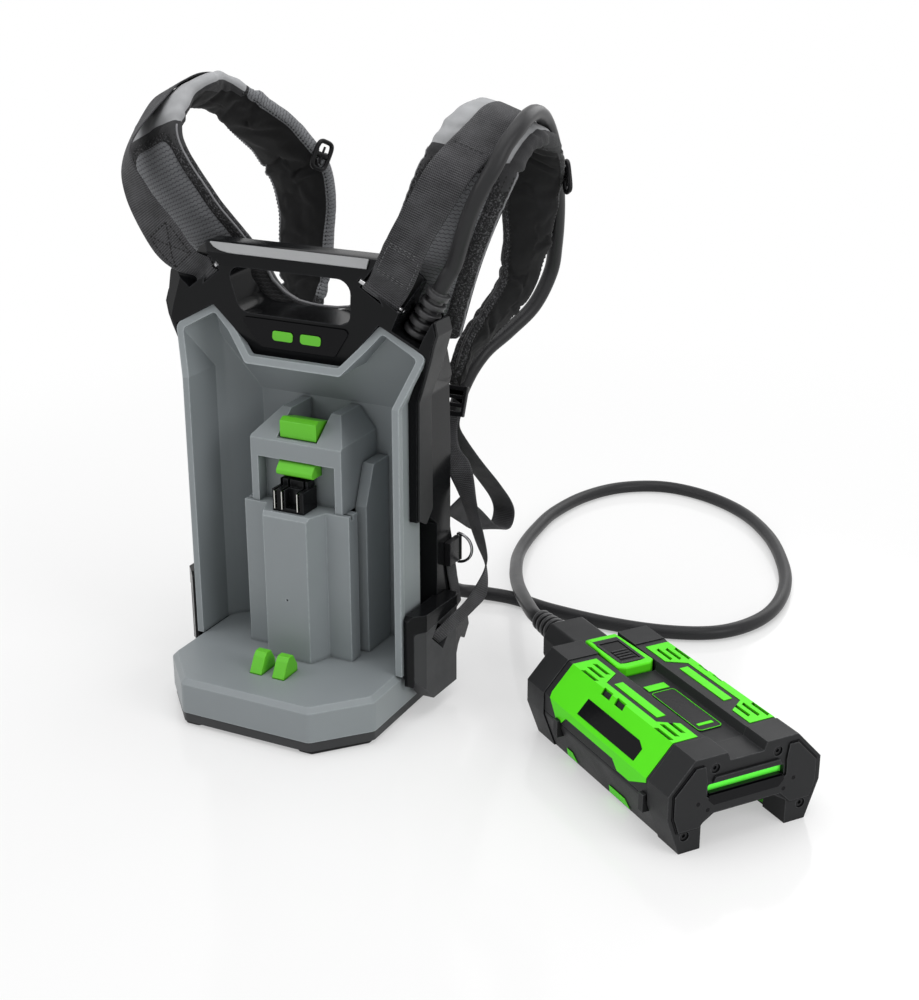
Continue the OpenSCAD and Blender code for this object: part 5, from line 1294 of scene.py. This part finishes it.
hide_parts("yoke_pad")
yokePlaces = readPoints(yokePad.data)
settleCloth(yokePad, np.abs(yokePlaces[:, 2] - yoke["quiltLine"] * mm) < 0.003, 2.0, 0.02, 0.003)
neckline = []
for x in np.linspace(-yoke["neck"], yoke["neck"], 90):
    top = yokeCurve("high", abs(x))
    neckline.append((x, yokeCurve("front", top) + 2.2, top + 0.3))
addTube("neckPiping", placed(neckline), yoke["piping"], pipingCloth, sides=10)
print("back pads filled")


# Where the camera, a reflection or a view through a piece looks at the background
def seenMask(tree):
    seen = addNode(tree, "ShaderNodeLightPath").outputs
    shown = mathNode(tree, "MAXIMUM", seen["Is Camera Ray"], seen["Is Glossy Ray"])
    return mathNode(tree, "MAXIMUM", shown, seen["Is Transmission Ray"])


# Floor and light
studio = {
    "floor": (0.9, 0.9, 0.9), "floorHalf": 30, "fadeCentre": (0.15, 0.1, 0.0), "fade": (0.3, 1.3), "worldStrength": 0.5,
    "lamps": [("topSoft", (0.1, -0.1, 1.9), (0.1, 0.0, 0.2), 1.6, 17.0),
              ("leftSoft", (-1.5, -1.3, 1.3), (0.0, 0.0, 0.3), 1.1, 7.0),
              ("rightSoft", (1.9, -0.5, 1.1), (0.1, 0.0, 0.3), 1.0, 11.0),
              ("backSoft", (0.4, 1.9, 1.3), (0.1, 0.0, 0.3), 1.2, 9.0)],
}
floorMesh = bpy.data.meshes.new("studioFloor")
half = studio["floorHalf"]
floorMesh.from_pydata([(-half, -half, 0), (half, -half, 0), (half, half, 0), (-half, half, 0)], [], [(0, 1, 2, 3)])
studioFloor = addObject("studioFloor", floorMesh)
floorFinish, tree, shader = startMaterial("paleFloor", Roughness=0.12, IOR=1.35)
shader.inputs["Base Color"].default_value = (*studio["floor"], 1.0)
glow = addNode(tree, "ShaderNodeEmission", Strength=1.0)
place = addNode(tree, "ShaderNodeTexCoord").outputs["Object"]
away = addNode(tree, "ShaderNodeVectorMath", {"operation": "DISTANCE"})
join(tree, place, away.inputs[0])
away.inputs[1].default_value = studio["fadeCentre"]
far = fadeNode(tree, away.outputs["Value"], *studio["fade"], 0.4, 1.0)
shown = seenMask(tree)
farBlend = addNode(tree, "ShaderNodeMixShader")
join(tree, mathNode(tree, "MULTIPLY", far, shown), farBlend.inputs[0])
join(tree, shader.outputs[0], farBlend.inputs[1])
join(tree, glow.outputs[0], farBlend.inputs[2])
output = [n for n in tree.nodes if n.type == "OUTPUT_MATERIAL"][0]
join(tree, farBlend.outputs[0], output.inputs[0])
floorMesh.materials.append(floorFinish)

world = scene.world or bpy.data.worlds.new("studioWorld")
scene.world = world
world.use_nodes = True
world.node_tree.nodes.clear()
sky = addNode(world.node_tree, "ShaderNodeBackground")
sky.inputs["Color"].default_value = (1, 1, 1, 1)
skyShown = fadeNode(world.node_tree, seenMask(world.node_tree), 0.0, 1.0, studio["worldStrength"], 1.0)
join(world.node_tree, skyShown, sky.inputs[1])
join(world.node_tree, sky.outputs[0], addNode(world.node_tree, "ShaderNodeOutputWorld").inputs[0])
for name, at, aim, size, power in studio["lamps"]:
    lamp = bpy.data.lights.new(name, "AREA")
    lamp.size = size
    lamp.energy = power
    lampObject = addObject(name, lamp)
    lampObject.location = at
    aimAt(lampObject, aim)
print("studio lit")
